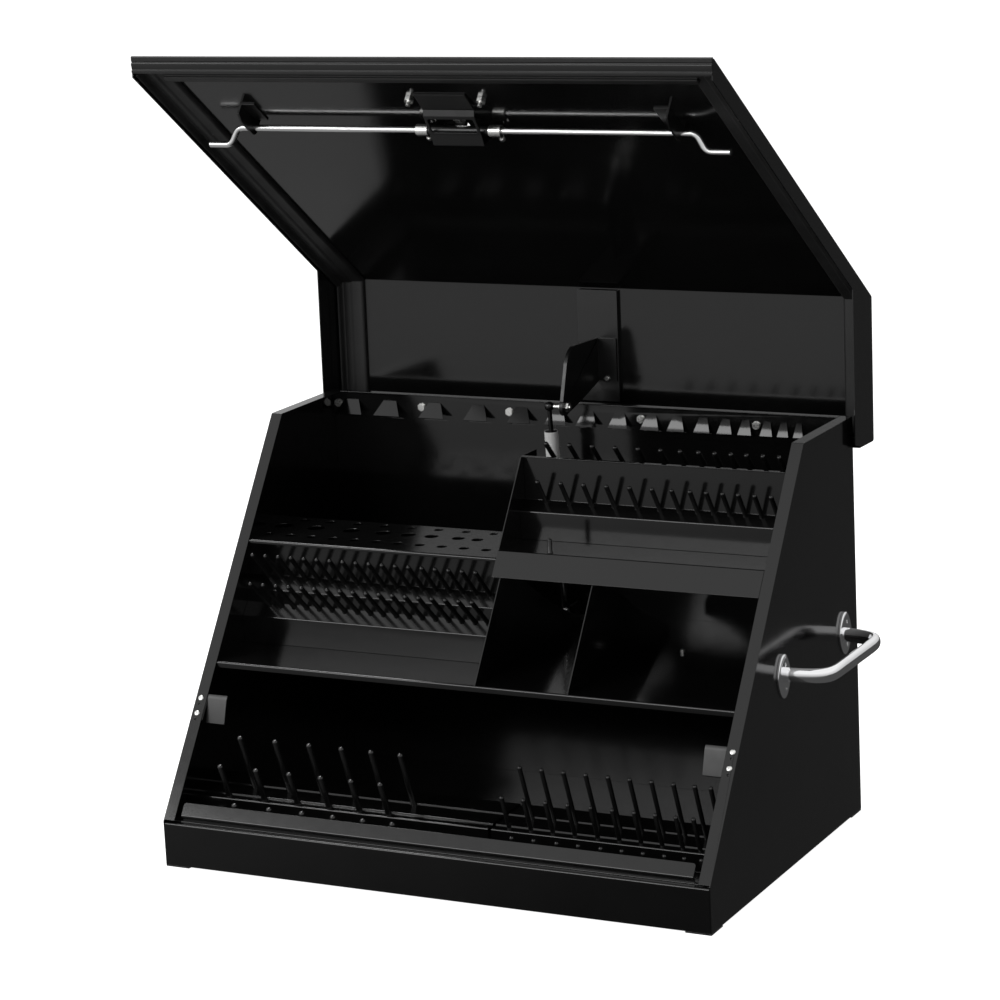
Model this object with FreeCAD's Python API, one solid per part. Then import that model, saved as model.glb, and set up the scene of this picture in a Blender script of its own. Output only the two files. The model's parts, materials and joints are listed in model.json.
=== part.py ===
import FreeCAD, Part
import math
import os

# Portable slope-front toolbox with its lid open, in millimetres.
# X runs to the right seen from the front, Y to the rear, Z up from the ground.
# While the pieces are made, Y is measured from the front face; `write` moves the
# origin to the middle of the footprint.

# Box shell
WIDTH = 762.0
DEPTH = 498.0
HEIGHT = 528.0
LIP_HEIGHT = 60.6
SLOPE_DEG = 54.75
SHEET = 1.5
SIDE_FLANGE = 16.0
FLANGE_START = 2.0
LIP_FLANGE = 27.5
LIP_GROOVE = (8.0, 6.5)
LIP_LEDGE_DROP = 2.1
LIP_END = 24.0
LIP_ROUND = 4.0
REAR_FLANGE = 10.0
BEND = 1.0
FOOT_SIZE = 34.5
FOOT_HEIGHT = 2.0

# Lid
OPEN_DEG = 91.0
STAND_OFF = 10.5
LID_SIDE_GAP = 7.5
LID_OVERHANG = 28.0
LID_FRONT_FLANGE = 23.0
LID_BEND = 2.0
LID_SIDE_FLANGE = 23.0
LID_TOP_FLANGE = 66.0
LID_CHAMFER = (6.6, 23.0)

# Hinge
PIN_R = 3.95
KNUCKLE_R = 6.4
LEAF = 2.4
HINGE_DROP = 33.4
LEAF_HEIGHT = 27.0
KNUCKLES = 17
HINGE_CLEARANCE = 0.3
HINGE_END = 5.0
HINGE_BOLTS_MID = (-241.5, -108.0, 86.0, 250.0)
HINGE_BOLT_END = 4.5
HINGE_BOLT_DROP = 18.0
HINGE_BOLT_R = 3.1
LID_RIVET_SHIFT = 30.0

# Hook rail along the back
RAIL_DROP = 2.0
RAIL_HEIGHT = 39.0
RAIL_SHEET = 1.5
HOOK_X = (-350, -291, -222, -155, -90, -36, 9, 55, 101, 138, 175, 207, 235, 265, 288, 309)
HOOK_WIDE = 41.5
HOOK_SHRINK = 1.85
HOOK_DEPTH = 15.0
HOOK_SHALLOW = 0.6
HOOK_RISE = 20.0
HOOK_LIFT = 10.0
HOOK_TOP = 0.45

# Shelves, trays and racks
MID_SHELF_Z = 240.0
MID_SHELF_HEM = 8.0
LEFT_SHELF_Z = 380.0
LEFT_SHELF_FRONT = 226.0
LEFT_SHELF_BACK = 358.0
LEFT_SHELF_HEM = 5.0
TRAY_Z = 389.0
TRAY_BACK = 352.0
TRAY_BAND = 36.5
TRAY_TOP_Z = 495.4
TRAY_PEG = (70.0, 240.0, 3.0, 18.0)
DIVIDER_X = (12.35, 141.0)
DIVIDER_TOP_Y = 262.0
DIVIDER_BACK = ((282.5, 334.4), (349.0, 292.0), (436.0, 249.0))
SHELF_SCREW = (200.0, 348.0)

# Round holes of the left shelf: every x of a row, its y, the first radius and how it shrinks
FRONT_HOLES = ([-355 + 32.3 * k for k in range(11)], 262.0, 6.5, 0.0)
DRIVER_HOLES = ((-359, -310, -256, -208, -171, -136, -96.5, -68.5), 308.0, 12.5, 0.7)
REAR_HOLES = ([-347 + 40.7 * k for k in range(8)], 343.0, 7.5, 0.3)
PLAY = 0.3

# Wrench pins: first x, pitch and count on the left, every x on the right
PIN_RADIUS = 2.7
LEFT_PINS = 18
LEFT_UPPER_X = (-353.0, -24.0)
LEFT_UPPER_TIP = (213.0, 362.0)
LEFT_UPPER_DEG = 45.0
LEFT_UPPER_LONG = 53.0
LEFT_LOWER_X = (-345.0, -19.0)
LEFT_LOWER_TIP = (190.0, 329.0)
LEFT_LOWER_DEG = 41.2
LEFT_LOWER_LONG = 59.0
RIGHT_PIN_X = (32, 65, 97, 129, 161, 192, 219, 244, 266, 288, 309, 331, 353)
RIGHT_FRONT_TIP = (288.0, 467.0)
RIGHT_FRONT_DEG = 54.0
RIGHT_FRONT_LONG = 38.0
RIGHT_BACK_TIP = (317.8, 510.7)
RIGHT_BACK_DEG = 45.0
RIGHT_BACK_LONG = 38.5
STRIP_ABOVE = 3.0
STRIP_BELOW = 18.0

# Socket posts: rows of x, then the tips and bases of the three rows
POST_LEFT_R = 4.0
POST_RIGHT_R = 2.8
RACK_SPLIT = 60.0
RACK_GAP = 4.0
RACK_REAR = 150.0
RACK_FRONT = 22.0
STEP_Z = (84.0, 82.0, 80.0, 56.0)
STEP_Y = (109.0, 73.0, 58.0)
POST_TIPS = ((72.3, 160.0), (47.2, 127.5), (19.2, 87.7))
POST_FEET = (103.0, 66.0, 32.0)
LEFT_POSTS = (
    (-303, -251, -201, -154, -111, -69),
    (-320, -267, -218, -172, -128, -86),
    (-285, -234, -186, -141, -98, -56),
)
RIGHT_POSTS = (
    (98, 128, 158, 188, 218, 247, 276, 305, 333, 354),
    (84, 114, 144, 174, 205, 234, 263, 291, 318, 341),
    (110, 140, 171, 200, 230, 258, 286, 314, 340, 362),
)

# Bow handles
HANDLE_Z = 254.0
HANDLE_Y = (240.0, 449.0)
HANDLE_REACH = 56.0
HANDLE_BEND = 40.0
GRIP_HALF = (7.0, 9.5)
HANDLE_FOOT = (20.0, 28.0, 3.5)
SCREW_SPREAD = 15.0
SCREW_R = 2.5
SCREW_CLEAR = 0.1

# Gas strut
STRUT_X = -20.0
STRUT_FOOT_IN = 38.5
STRUT_FOOT_UP = 9.0
STRUT_HEAD_FROM_HINGE = (-67.2, 38.9)
STRUT_TUBE_R = 9.0
STRUT_WALL = 1.5
STRUT_ROD_R = 4.0
STRUT_TUBE = 131.0
STRUT_NECK = 32.8
SOCKET_R = 6.5
BALL_R = 4.0
RUNNING = 0.08
BAND = (41.0, 0.25)

# Rod latch on the lid, in lid coordinates: distance from the lid's bend, depth inside
ROD_R = 4.0
ROD_S = 448.5
ROD_DEPTH = 13.0
ROD_INNER = 50.0
ROD_CRANK_IN = 66.0
ROD_TIP_IN = 23.0
CRANK_SHIFT = (-13.5, 17.0)
CRANK_RUN = 12.0
CRANK_BEND = 13.0
COLLAR_R = 7.5
COLLAR_LONG = 16.0
CROSS_R = 6.0
GUIDE_IN = 90.0
GUIDE_THICK = 3.0
GUIDE_EDGE = ((42.0, 16.0), (30.0, 22.0), (0.0, 22.0))
GUIDE_NOSE = (8.5, 9.0)
GUIDE_FOOT = (18.0, 2.0)
STRAP = ((518.0, 0.0), (486.0, 3.0), (481.0, 10.0), (453.0, 19.5), (440.0, 26.5), (424.0, 0.0),
         (412.0, 0.0))
STRAP_SHEET = 2.0
STRAP_HALF = 35.0
STRAP_WINDOW = (31.5, 457.0, 478.0, 3.0)
PLATE_HALF = 65.0
PLATE_S = (408.0, 522.0)
PLATE_THICK = 2.5
PLATE_BOLT_X = (-45.0, 53.0)
PLATE_BOLT_S = 507.0
LEVER_HALF = (7.0, 3.5)
LEVER_OUT = 32.0
LEVER_GRIP = 45.0
LOCK_S = 474.0
LOCK_R = 7.0

# Keepers on the side flanges
KEEPER_THICK = 3.0
KEEPER_BELOW_ROD = 0.5
KEEPER_LONG = 36.0
KEEPER_IN = (45.0, 2.0)
RIVET_UP = (8.4, 29.2)
RIVET_IN = 7.5
RIVET_R = 2.0
SPARE_HOLE = (1.5, 8.0)

# Seal, hat channel and gooseneck bracket on the lid
SEAL_IN = (20.0, -4.0)
SEAL_BASE = 6.0
RIDGE_IN = (9.5, 0.5)
SEAL_GAP = 0.3
CHANNEL_X = (-26.0, 33.0)
CHANNEL_PAST_BEND = 3.9
CHANNEL_PAST_BALL = 11.0
CHANNEL_DEEP = 6.0

# Gooseneck bracket: places (y, z) from the centre of the strut's upper ball
GOOSE_X = (-0.5, 4.5)
GOOSE_FOOT = (-75.0, -17.5)
GOOSE_FRONT = ((-76.4, 41.3), (-70.8, 18.3), (-56.0, 6.8))
GOOSE_EYE = ((-9.0, -8.0), (5.0, -10.5), (10.0, 6.0))
GOOSE_BACK = (1.0, 42.3)
GOOSE_SCREW = (17.0, -21.0)
GOOSE_SCREW_R = 2.5
STUD_R = 3.5

V = FreeCAD.Vector
SLOPE = math.radians(SLOPE_DEG)
UP = (math.cos(SLOPE), math.sin(SLOPE))
OUT = (-math.sin(SLOPE), math.cos(SLOPE))
HALF = WIDTH / 2
INNER = HALF - SHEET
BACK_IN = DEPTH - SHEET
FLOOR = FOOT_HEIGHT + SHEET
TOP_CORNER = (HEIGHT - LIP_HEIGHT) / math.tan(SLOPE)
SLOPE_LONG = (HEIGHT - LIP_HEIGHT) / math.sin(SLOPE)

HINGE_Y = DEPTH + KNUCKLE_R + PLAY
HINGE_Z = HEIGHT - HINGE_DROP
SKIRT_IN = HINGE_Y + KNUCKLE_R + PLAY
SKIRT = SKIRT_IN + SHEET
LID_TOP = HEIGHT + STAND_OFF + SHEET
LID_OFF = STAND_OFF + SHEET
LID_HALF = HALF + LID_SIDE_GAP + SHEET
LID_BEND_Y = TOP_CORNER + (LID_OFF - (LID_TOP - HEIGHT) * OUT[1]) / OUT[0]
LID_BEND_S = LID_BEND_Y * UP[0] + (LID_TOP - LIP_HEIGHT) * UP[1]
LID_PANEL = LID_BEND_S + LID_OVERHANG

HINGE_HALF = HALF - HINGE_END
HINGE_BOLTS = (HINGE_BOLT_END - HINGE_HALF,) + HINGE_BOLTS_MID + (HINGE_HALF - HINGE_BOLT_END,)
STRUT_FOOT = (BACK_IN - STRUT_FOOT_IN, MID_SHELF_Z + STRUT_FOOT_UP)
STRUT_HEAD = (HINGE_Y + STRUT_HEAD_FROM_HINGE[0], HINGE_Z + STRUT_HEAD_FROM_HINGE[1])
STRUT_BORE_R = STRUT_TUBE_R - STRUT_WALL

ROD_CRANK = HALF - ROD_CRANK_IN
ROD_TIP = HALF - ROD_TIP_IN
GUIDE_X = HALF - GUIDE_IN
ROD_TIP_S = LID_BEND_S - ROD_S - CRANK_SHIFT[0]
KEEPER_LOW = ROD_TIP_S - ROD_R - KEEPER_BELOW_ROD
KEEPER_S = (KEEPER_LOW, KEEPER_LOW + KEEPER_LONG)
KEEPER_X = (HALF - KEEPER_IN[0], HALF - KEEPER_IN[1])
RIVET_S = (KEEPER_LOW + RIVET_UP[0], KEEPER_LOW + RIVET_UP[1])
RIVET_X = HALF - RIVET_IN
SEAL_X = (HALF - SEAL_IN[0], HALF - SEAL_IN[1])
RIDGE_X = (HALF - RIDGE_IN[0], HALF - RIDGE_IN[1])


def box(x0, x1, y0, y1, z0, z1):
    return Part.makeBox(x1 - x0, y1 - y0, z1 - z0, V(x0, y0, z0))


def rod(start, end, radius):
    a = V(*start)
    b = V(*end)
    return Part.makeCylinder(radius, (b - a).Length, a, b - a)


def plate(points, x0, x1):
    """Flat plate across X from its outline in (y, z)."""
    ring = [V(x0, y, z) for y, z in points]
    face = Part.Face(Part.makePolygon(ring + ring[:1]))
    return face.extrude(V(x1 - x0, 0, 0))


def hexagon(centre, axis, across, thick):
    """Hexagonal head from its seat along an axis."""
    ring = []
    for k in range(7):
        a = math.radians(60 * k)
        ring.append(V(across / math.sqrt(3) * math.cos(a), across / math.sqrt(3) * math.sin(a), 0))
    head = Part.Face(Part.makePolygon(ring)).extrude(V(0, 0, thick))
    head.Placement = FreeCAD.Placement(V(*centre), FreeCAD.Rotation(V(0, 0, 1), V(*axis)))
    return head


def fuse(shapes):
    whole = shapes[0].fuse(shapes[1:]) if len(shapes) > 1 else shapes[0]
    return whole.removeSplitter()


def group(shapes):
    return Part.makeCompound(shapes)


def mirror(shape):
    return shape.mirror(V(0, 0, 0), V(1, 0, 0))


def bent(points, thick, x0, x1, inside=BEND):
    """Bent sheet across X. Points (y, z) run along one face; the metal is on their left."""
    face = []
    back = []
    for k, (y, z) in enumerate(points):
        here = V(x0, y, z)
        if k > 0:
            d_in = (here - V(x0, *points[k - 1])).normalize()
        if k < len(points) - 1:
            d_out = (V(x0, *points[k + 1]) - here).normalize()
        if k == 0:
            d_in = d_out
        if k == len(points) - 1:
            d_out = d_in
        left_in = V(0, -d_in.z, d_in.y)
        left_out = V(0, -d_out.z, d_out.y)
        turn = math.atan2(d_in.cross(d_out).x, d_in.dot(d_out))
        if abs(turn) < 1e-6:
            face.append((here,))
            back.append((here + left_in * thick,))
            continue
        r_face = inside + (thick if turn > 0 else 0.0)
        r_back = inside + (0.0 if turn > 0 else thick)
        side = 1 if turn > 0 else -1
        run = r_face * math.tan(abs(turn) / 2)
        first = here - d_in * run
        centre = first + left_in * (side * r_face)
        middle = (left_in + left_out).normalize() * side
        arcs = []
        for radius in (r_face, r_back):
            arcs.append((centre - left_in * (side * radius), centre - middle * radius,
                         centre - left_out * (side * radius)))
        face.append(arcs[0])
        back.append(arcs[1])
    path = face + [tuple(reversed(knot)) for knot in reversed(back)]
    edges = []
    for k, knot in enumerate(path):
        if len(knot) == 3:
            edges.append(Part.Arc(*knot).toShape())
        edges.append(Part.makeLine(knot[-1], path[(k + 1) % len(path)][0]))
    return Part.Face(Part.Wire(edges)).extrude(V(x1 - x0, 0, 0))


def route(points, bend):
    """Wire through points with a tangent arc of the same radius at every corner."""
    edges = []
    here = V(*points[0])
    for k in range(1, len(points) - 1):
        corner = V(*points[k])
        d_in = (corner - V(*points[k - 1])).normalize()
        d_out = (V(*points[k + 1]) - corner).normalize()
        turn = d_in.getAngle(d_out)
        run = bend * math.tan(turn / 2)
        start = corner - d_in * run
        end = corner + d_out * run
        centre = corner + (d_out - d_in).normalize() * (bend / math.cos(turn / 2))
        middle = centre + (corner - centre).normalize() * bend
        edges.append(Part.makeLine(here, start))
        edges.append(Part.Arc(start, middle, end).toShape())
        here = end
    edges.append(Part.makeLine(here, V(*points[-1])))
    return Part.Wire(edges)


def tube(points, bend, radius):
    wire = route(points, bend)
    start = V(*points[0])
    ring = Part.Wire(Part.makeCircle(radius, start, V(*points[1]) - start))
    return wire.makePipeShell([ring], True, False)


def on_slope(shape):
    """From (x, distance up the slope, height off it) to the box."""
    move = FreeCAD.Placement(V(0, 0, LIP_HEIGHT), FreeCAD.Rotation(V(1, 0, 0), SLOPE_DEG))
    return shape.transformed(move.toMatrix())


def on_lid(shape):
    """From (x, distance from the lid's bend, depth inside its face) to the closed lid."""
    turn = FreeCAD.Rotation(V(1, 0, 0), 180 + SLOPE_DEG)
    return shape.transformed(FreeCAD.Placement(V(0, LID_BEND_Y, LID_TOP), turn).toMatrix())


def opened(shape):
    """Swing a piece of the closed lid open, to the pose at rest."""
    copy = shape.copy()
    copy.rotate(V(0, HINGE_Y, HINGE_Z), V(1, 0, 0), -OPEN_DEG)
    return copy


def closed_point(point):
    """Where a point of the open lid lies with the lid closed."""
    a = math.radians(OPEN_DEG)
    y = point[0] - HINGE_Y
    z = point[1] - HINGE_Z
    return (HINGE_Y + y * math.cos(a) - z * math.sin(a), HINGE_Z + y * math.sin(a) + z * math.cos(a))


def spread(first, last, count):
    return [first + (last - first) * k / (count - 1) for k in range(count)]


def base_of(tip, degrees, length):
    a = math.radians(degrees)
    return (tip[0] + length * math.cos(a), tip[1] - length * math.sin(a))


def strip_ends(tip, degrees, length):
    """Upper and lower corner of the sloping strip that a row of pins stands on, square to it."""
    foot = base_of(tip, degrees, length)
    a = math.radians(degrees)
    along = (math.sin(a), math.cos(a))
    upper = (foot[0] + along[0] * STRIP_ABOVE, foot[1] + along[1] * STRIP_ABOVE)
    lower = (foot[0] - along[0] * STRIP_BELOW, foot[1] - along[1] * STRIP_BELOW)
    return upper, lower


def pins(xs, tip, degrees, length, radius):
    """Row of pins, each with a rounded end."""
    foot = base_of(tip, degrees, length)
    row = []
    for x in xs:
        shaft = rod((x, foot[0], foot[1]), (x, tip[0], tip[1]), radius)
        row.append(shaft.fuse(Part.makeSphere(radius, V(x, tip[0], tip[1]))).removeSplitter())
    return row


def clear_sides(shape):
    """Notch a sheet around the flanges along the slope of both sides."""
    notch = on_slope(box(HALF - SIDE_FLANGE - PLAY, HALF, LIP_FLANGE, SLOPE_LONG + 20, -SHEET - PLAY, 20))
    return shape.cut(group([notch, mirror(notch)]))


def side_panel():
    """Right side: web with the flanges along its slope and its top."""
    outline = [(0, FOOT_HEIGHT), (0, LIP_HEIGHT), (TOP_CORNER, HEIGHT), (DEPTH, HEIGHT),
               (DEPTH, FOOT_HEIGHT)]
    web = plate(outline, INNER, HALF)
    slope = on_slope(box(HALF - SIDE_FLANGE, HALF, FLANGE_START, SLOPE_LONG, -SHEET, 0))
    top = box(HALF - SIDE_FLANGE, HALF, TOP_CORNER, BACK_IN, HEIGHT - SHEET, HEIGHT)
    panel = fuse([web, slope, top])
    for y in HANDLE_Y:
        for z in (HANDLE_Z - SCREW_SPREAD, HANDLE_Z + SCREW_SPREAD):
            panel = panel.cut(rod((INNER - 5, y, z), (HALF + 5, y, z), SCREW_R + SCREW_CLEAR))
    spare_r, spare_below = SPARE_HOLE
    for s in RIVET_S:
        panel = panel.cut(on_slope(rod((RIVET_X, s, -9), (RIVET_X, s, 9), RIVET_R + SCREW_CLEAR)))
        low = s - spare_below
        panel = panel.cut(on_slope(rod((RIVET_X, low, -9), (RIVET_X, low, 9), spare_r)))
    return panel


def back_panel():
    web = box(-INNER, INNER, BACK_IN, DEPTH, FOOT_HEIGHT, HEIGHT)
    reach = HALF - SIDE_FLANGE - PLAY
    flange = box(-reach, reach, DEPTH - REAR_FLANGE, DEPTH, HEIGHT - SHEET, HEIGHT)
    panel = fuse([web, flange])
    for x in HINGE_BOLTS:
        z = HEIGHT - HINGE_BOLT_DROP
        panel = panel.cut(rod((x, BACK_IN - 5, z), (x, DEPTH + 5, z), HINGE_BOLT_R + SCREW_CLEAR))
    return panel


def front_lip():
    """Front panel: its top edge turns in, then out and up into a strip along the slope."""
    start, deep = LIP_GROOVE
    ledge_z = LIP_HEIGHT - LIP_LEDGE_DROP
    top = (LIP_FLANGE * UP[0], LIP_HEIGHT + LIP_FLANGE * UP[1])
    edge = (start * UP[0], LIP_HEIGHT + start * UP[1])
    inner = (edge[0] - OUT[0] * deep, edge[1] - OUT[1] * deep)
    face = [top, edge, inner, (inner[0], ledge_z), (0, ledge_z), (0, FOOT_HEIGHT)]
    panel = bent(face, SHEET, -INNER, INNER)
    reach = HALF - LIP_END
    corner = on_slope(box(reach - LIP_ROUND, reach, LIP_FLANGE - LIP_ROUND, LIP_FLANGE + 1, -9, 9))
    round_at = (reach - LIP_ROUND, LIP_FLANGE - LIP_ROUND)
    corner = corner.cut(on_slope(rod((*round_at, -9), (*round_at, 9), LIP_ROUND)))
    end = box(reach, HALF, -1, 40, ledge_z + BEND, LIP_HEIGHT + LIP_FLANGE + 1)
    for cutter in (corner, end):
        panel = panel.cut(group([cutter, mirror(cutter)]))
    return panel


def feet():
    pads = []
    for x in (-HALF, HALF - FOOT_SIZE):
        for y in (0, DEPTH - FOOT_SIZE):
            pads.append(box(x, x + FOOT_SIZE, y, y + FOOT_SIZE, 0, FOOT_HEIGHT))
    return group(pads)


def tongue(centre, wide, top_wide, y0, z1, angle, long):
    """Trapezoid of the rail's sheet below z1, turned out by an angle about its narrow top edge."""
    ring = [V(centre - wide / 2, y0, z1 - long), V(centre + wide / 2, y0, z1 - long),
            V(centre + top_wide / 2, y0, z1), V(centre - top_wide / 2, y0, z1)]
    flat = Part.Face(Part.makePolygon(ring + ring[:1])).extrude(V(0, RAIL_SHEET, 0))
    flat.rotate(V(centre, y0 + RAIL_SHEET, z1), V(1, 0, 0), -angle)
    return flat


def top_rail():
    y0 = BACK_IN - RAIL_SHEET
    z0 = HEIGHT - RAIL_DROP - RAIL_HEIGHT
    rail = box(-HINGE_HALF, HINGE_HALF, y0, BACK_IN, z0, HEIGHT - RAIL_DROP)
    bend_z = z0 + HOOK_LIFT + HOOK_RISE
    windows = []
    hooks = []
    for k, x in enumerate(HOOK_X):
        wide = HOOK_WIDE - HOOK_SHRINK * k
        top = wide * HOOK_TOP
        deep = HOOK_DEPTH - HOOK_SHALLOW * k
        long = math.hypot(HOOK_RISE, deep)
        angle = math.degrees(math.atan2(deep, HOOK_RISE))
        windows.append(tongue(x, wide, top, y0, bend_z, 0, long))
        hooks.append(tongue(x, wide, top, y0, bend_z, angle, long))
    rail = rail.cut(group(windows)).fuse(hooks)
    for x in HINGE_BOLTS:
        z = HEIGHT - HINGE_BOLT_DROP
        rail = rail.cut(rod((x, y0 - 5, z), (x, BACK_IN + 5, z), HINGE_BOLT_R + SCREW_CLEAR))
    return rail.removeSplitter()


def hinge_leaf(for_body):
    """One leaf of the piano hinge: a plate and every second knuckle, with the lid closed."""
    long = 2 * HINGE_HALF / KNUCKLES
    if for_body:
        leaf = box(-HINGE_HALF, HINGE_HALF, DEPTH, DEPTH + LEAF, HINGE_Z, HINGE_Z + LEAF_HEIGHT)
    else:
        leaf = box(-HINGE_HALF, HINGE_HALF, SKIRT_IN - LEAF, SKIRT_IN, HINGE_Z, HINGE_Z + LEAF_HEIGHT)
    keep = []
    drop = []
    for k in range(KNUCKLES):
        x0 = -HINGE_HALF + k * long
        mine = (k % 2 == 0) == for_body
        if mine:
            keep.append(rod((x0 + HINGE_CLEARANCE / 2, HINGE_Y, HINGE_Z),
                            (x0 + long - HINGE_CLEARANCE / 2, HINGE_Y, HINGE_Z), KNUCKLE_R))
        else:
            reach = KNUCKLE_R + HINGE_CLEARANCE
            drop.append(box(x0 - HINGE_CLEARANCE / 2, x0 + long + HINGE_CLEARANCE / 2,
                            HINGE_Y - reach - LEAF, HINGE_Y + reach + LEAF,
                            HINGE_Z - reach, HINGE_Z + reach))
    leaf = leaf.cut(group(drop)).fuse(keep)
    leaf = leaf.cut(rod((-HALF, HINGE_Y, HINGE_Z), (HALF, HINGE_Y, HINGE_Z), PIN_R + RUNNING))
    if for_body:
        for x in HINGE_BOLTS:
            z = HEIGHT - HINGE_BOLT_DROP
            hole = rod((x, DEPTH - 5, z), (x, DEPTH + LEAF + 2, z), HINGE_BOLT_R + SCREW_CLEAR)
            leaf = leaf.cut(hole)
    return leaf.removeSplitter()


def hinge_pin():
    return rod((-HINGE_HALF, HINGE_Y, HINGE_Z), (HINGE_HALF, HINGE_Y, HINGE_Z), PIN_R)


def hinge_bolts():
    bolts = []
    z = HEIGHT - HINGE_BOLT_DROP
    head_y = BACK_IN - RAIL_SHEET
    tail_y = DEPTH + LEAF
    for x in HINGE_BOLTS:
        head = hexagon((x, head_y, z), (0, -1, 0), 10.0, 4.0)
        shank = rod((x, head_y, z), (x, tail_y + 4.0, z), HINGE_BOLT_R)
        nut = hexagon((x, tail_y, z), (0, 1, 0), 8.0, 3.2)
        bolts.append(fuse([head, shank, nut]))
    return group(bolts)


def mid_shelf():
    front = (MID_SHELF_Z - LIP_HEIGHT) / math.tan(SLOPE) + PLAY
    face = [(BACK_IN, MID_SHELF_Z), (front, MID_SHELF_Z), (front, MID_SHELF_Z - MID_SHELF_HEM)]
    shelf = clear_sides(bent(face, SHEET, -INNER, INNER))
    for side in (-1, 1):
        for y in HANDLE_Y:
            x = side * INNER
            shelf = shelf.cut(box(min(x, x - side * 7), max(x, x - side * 7), y - 6, y + 6,
                                  MID_SHELF_Z - 5, MID_SHELF_Z + 5))
    return shelf


def shelf_screws():
    screws = []
    x, y = SHELF_SCREW
    for side in (-1, 1):
        screws.append(hexagon((side * x, y, MID_SHELF_Z), (0, 0, 1), 7.0, 4.0))
    return group(screws)


def shelf_left():
    """Perforated shelf for drivers: three rows of round holes."""
    face = [(LEFT_SHELF_BACK, LEFT_SHELF_Z), (LEFT_SHELF_FRONT, LEFT_SHELF_Z),
            (LEFT_SHELF_FRONT, LEFT_SHELF_Z - LEFT_SHELF_HEM)]
    shelf = clear_sides(bent(face, SHEET, -INNER, -PLAY))
    for xs, y, first, shrink in (FRONT_HOLES, DRIVER_HOLES, REAR_HOLES):
        for k, x in enumerate(xs):
            hole = rod((x, y, LEFT_SHELF_Z - 5), (x, y, LEFT_SHELF_Z + 5), first - shrink * k)
            shelf = shelf.cut(hole)
    return shelf


def wrench_rack_left():
    up1, low1 = strip_ends(LEFT_UPPER_TIP, LEFT_UPPER_DEG, LEFT_UPPER_LONG)
    up2, low2 = strip_ends(LEFT_LOWER_TIP, LEFT_LOWER_DEG, LEFT_LOWER_LONG)
    step_y = up2[0]
    low1 = (step_y, up1[1] - (up1[0] - step_y) / math.tan(math.radians(LEFT_UPPER_DEG)))
    face = [(up1[0], LEFT_SHELF_Z - SHEET), up1, low1, up2, low2, (low2[0], MID_SHELF_Z)]
    return bent(face, SHEET, -INNER, DIVIDER_X[0] - SHEET / 2)


def wrench_pins_left():
    upper = pins(spread(*LEFT_UPPER_X, LEFT_PINS), LEFT_UPPER_TIP, LEFT_UPPER_DEG,
                 LEFT_UPPER_LONG, PIN_RADIUS)
    lower = pins(spread(*LEFT_LOWER_X, LEFT_PINS), LEFT_LOWER_TIP, LEFT_LOWER_DEG,
                 LEFT_LOWER_LONG, PIN_RADIUS)
    return group(upper + lower)


def tray_right():
    """Floor and front band of the upper right tray, and the plate that closes its left end."""
    front = ((TRAY_Z - LIP_HEIGHT) / math.tan(SLOPE), TRAY_Z)
    low = (front[0] - TRAY_BAND * UP[0], front[1] - TRAY_BAND * UP[1])
    floor = clear_sides(bent([(TRAY_BACK, TRAY_Z), front, low], SHEET, 0, INNER))
    top = ((TRAY_TOP_Z - LIP_HEIGHT) / math.tan(SLOPE), TRAY_TOP_Z)
    end = plate([front, top, (TRAY_BACK, TRAY_TOP_Z), (TRAY_BACK, TRAY_Z)], 0, SHEET)
    return fuse([floor, end])


def tray_peg():
    x, y, radius, tall = TRAY_PEG
    return rod((x, y, TRAY_Z), (x, y, TRAY_Z + tall), radius)


def wrench_rack_right_front():
    up, low = strip_ends(RIGHT_FRONT_TIP, RIGHT_FRONT_DEG, RIGHT_FRONT_LONG)
    top = TRAY_TOP_Z - SHEET
    lip = (top - LIP_HEIGHT) / math.tan(SLOPE) + PLAY
    face = [(lip, top), (up[0], top), up, low, (low[0], TRAY_Z)]
    return clear_sides(bent(face, SHEET, SHEET, INNER))


def wrench_rack_right_back():
    up, low = strip_ends(RIGHT_BACK_TIP, RIGHT_BACK_DEG, RIGHT_BACK_LONG)
    return clear_sides(bent([(TRAY_BACK, up[1]), up, low, (low[0], TRAY_Z)], SHEET, SHEET, INNER))


def wrench_pins_right():
    front = pins(RIGHT_PIN_X, RIGHT_FRONT_TIP, RIGHT_FRONT_DEG, RIGHT_FRONT_LONG, PIN_RADIUS)
    back = pins(RIGHT_PIN_X, RIGHT_BACK_TIP, RIGHT_BACK_DEG, RIGHT_BACK_LONG, PIN_RADIUS)
    return group(front + back)


def divider(x):
    y0 = (MID_SHELF_Z - LIP_HEIGHT) / math.tan(SLOPE) + PLAY
    band = ((TRAY_Z - LIP_HEIGHT) / math.tan(SLOPE), TRAY_Z)
    low = (band[0] - TRAY_BAND * UP[0], band[1] - TRAY_BAND * UP[1])
    inside = SHEET + PLAY
    outline = [(y0, MID_SHELF_Z), (low[0] - PLAY, low[1] - PLAY),
               (low[0] - OUT[0] * inside, low[1] - OUT[1] * inside),
               (band[0] + inside * math.tan(SLOPE / 2 + math.pi / 8), TRAY_Z - SHEET),
               (DIVIDER_TOP_Y, TRAY_Z - SHEET), *DIVIDER_BACK, (DIVIDER_BACK[-1][0], MID_SHELF_Z)]
    return plate(outline, x - SHEET / 2, x + SHEET / 2)


def socket_rack(x0, x1):
    """Stepped base plate that the socket posts stand on."""
    z1, z2, z3, z4 = STEP_Z
    y1, y2, y3 = STEP_Y
    face = [(RACK_REAR, FLOOR), (RACK_REAR, z1), (y1, z1), (y1 - z1 + z2, z2), (y2, z2),
            (y2 - z2 + z3, z3), (y3, z3), (y3, z4), (RACK_FRONT, z4), (RACK_FRONT, FLOOR)]
    return bent(face, SHEET, x0, x1, 0.4)


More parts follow.
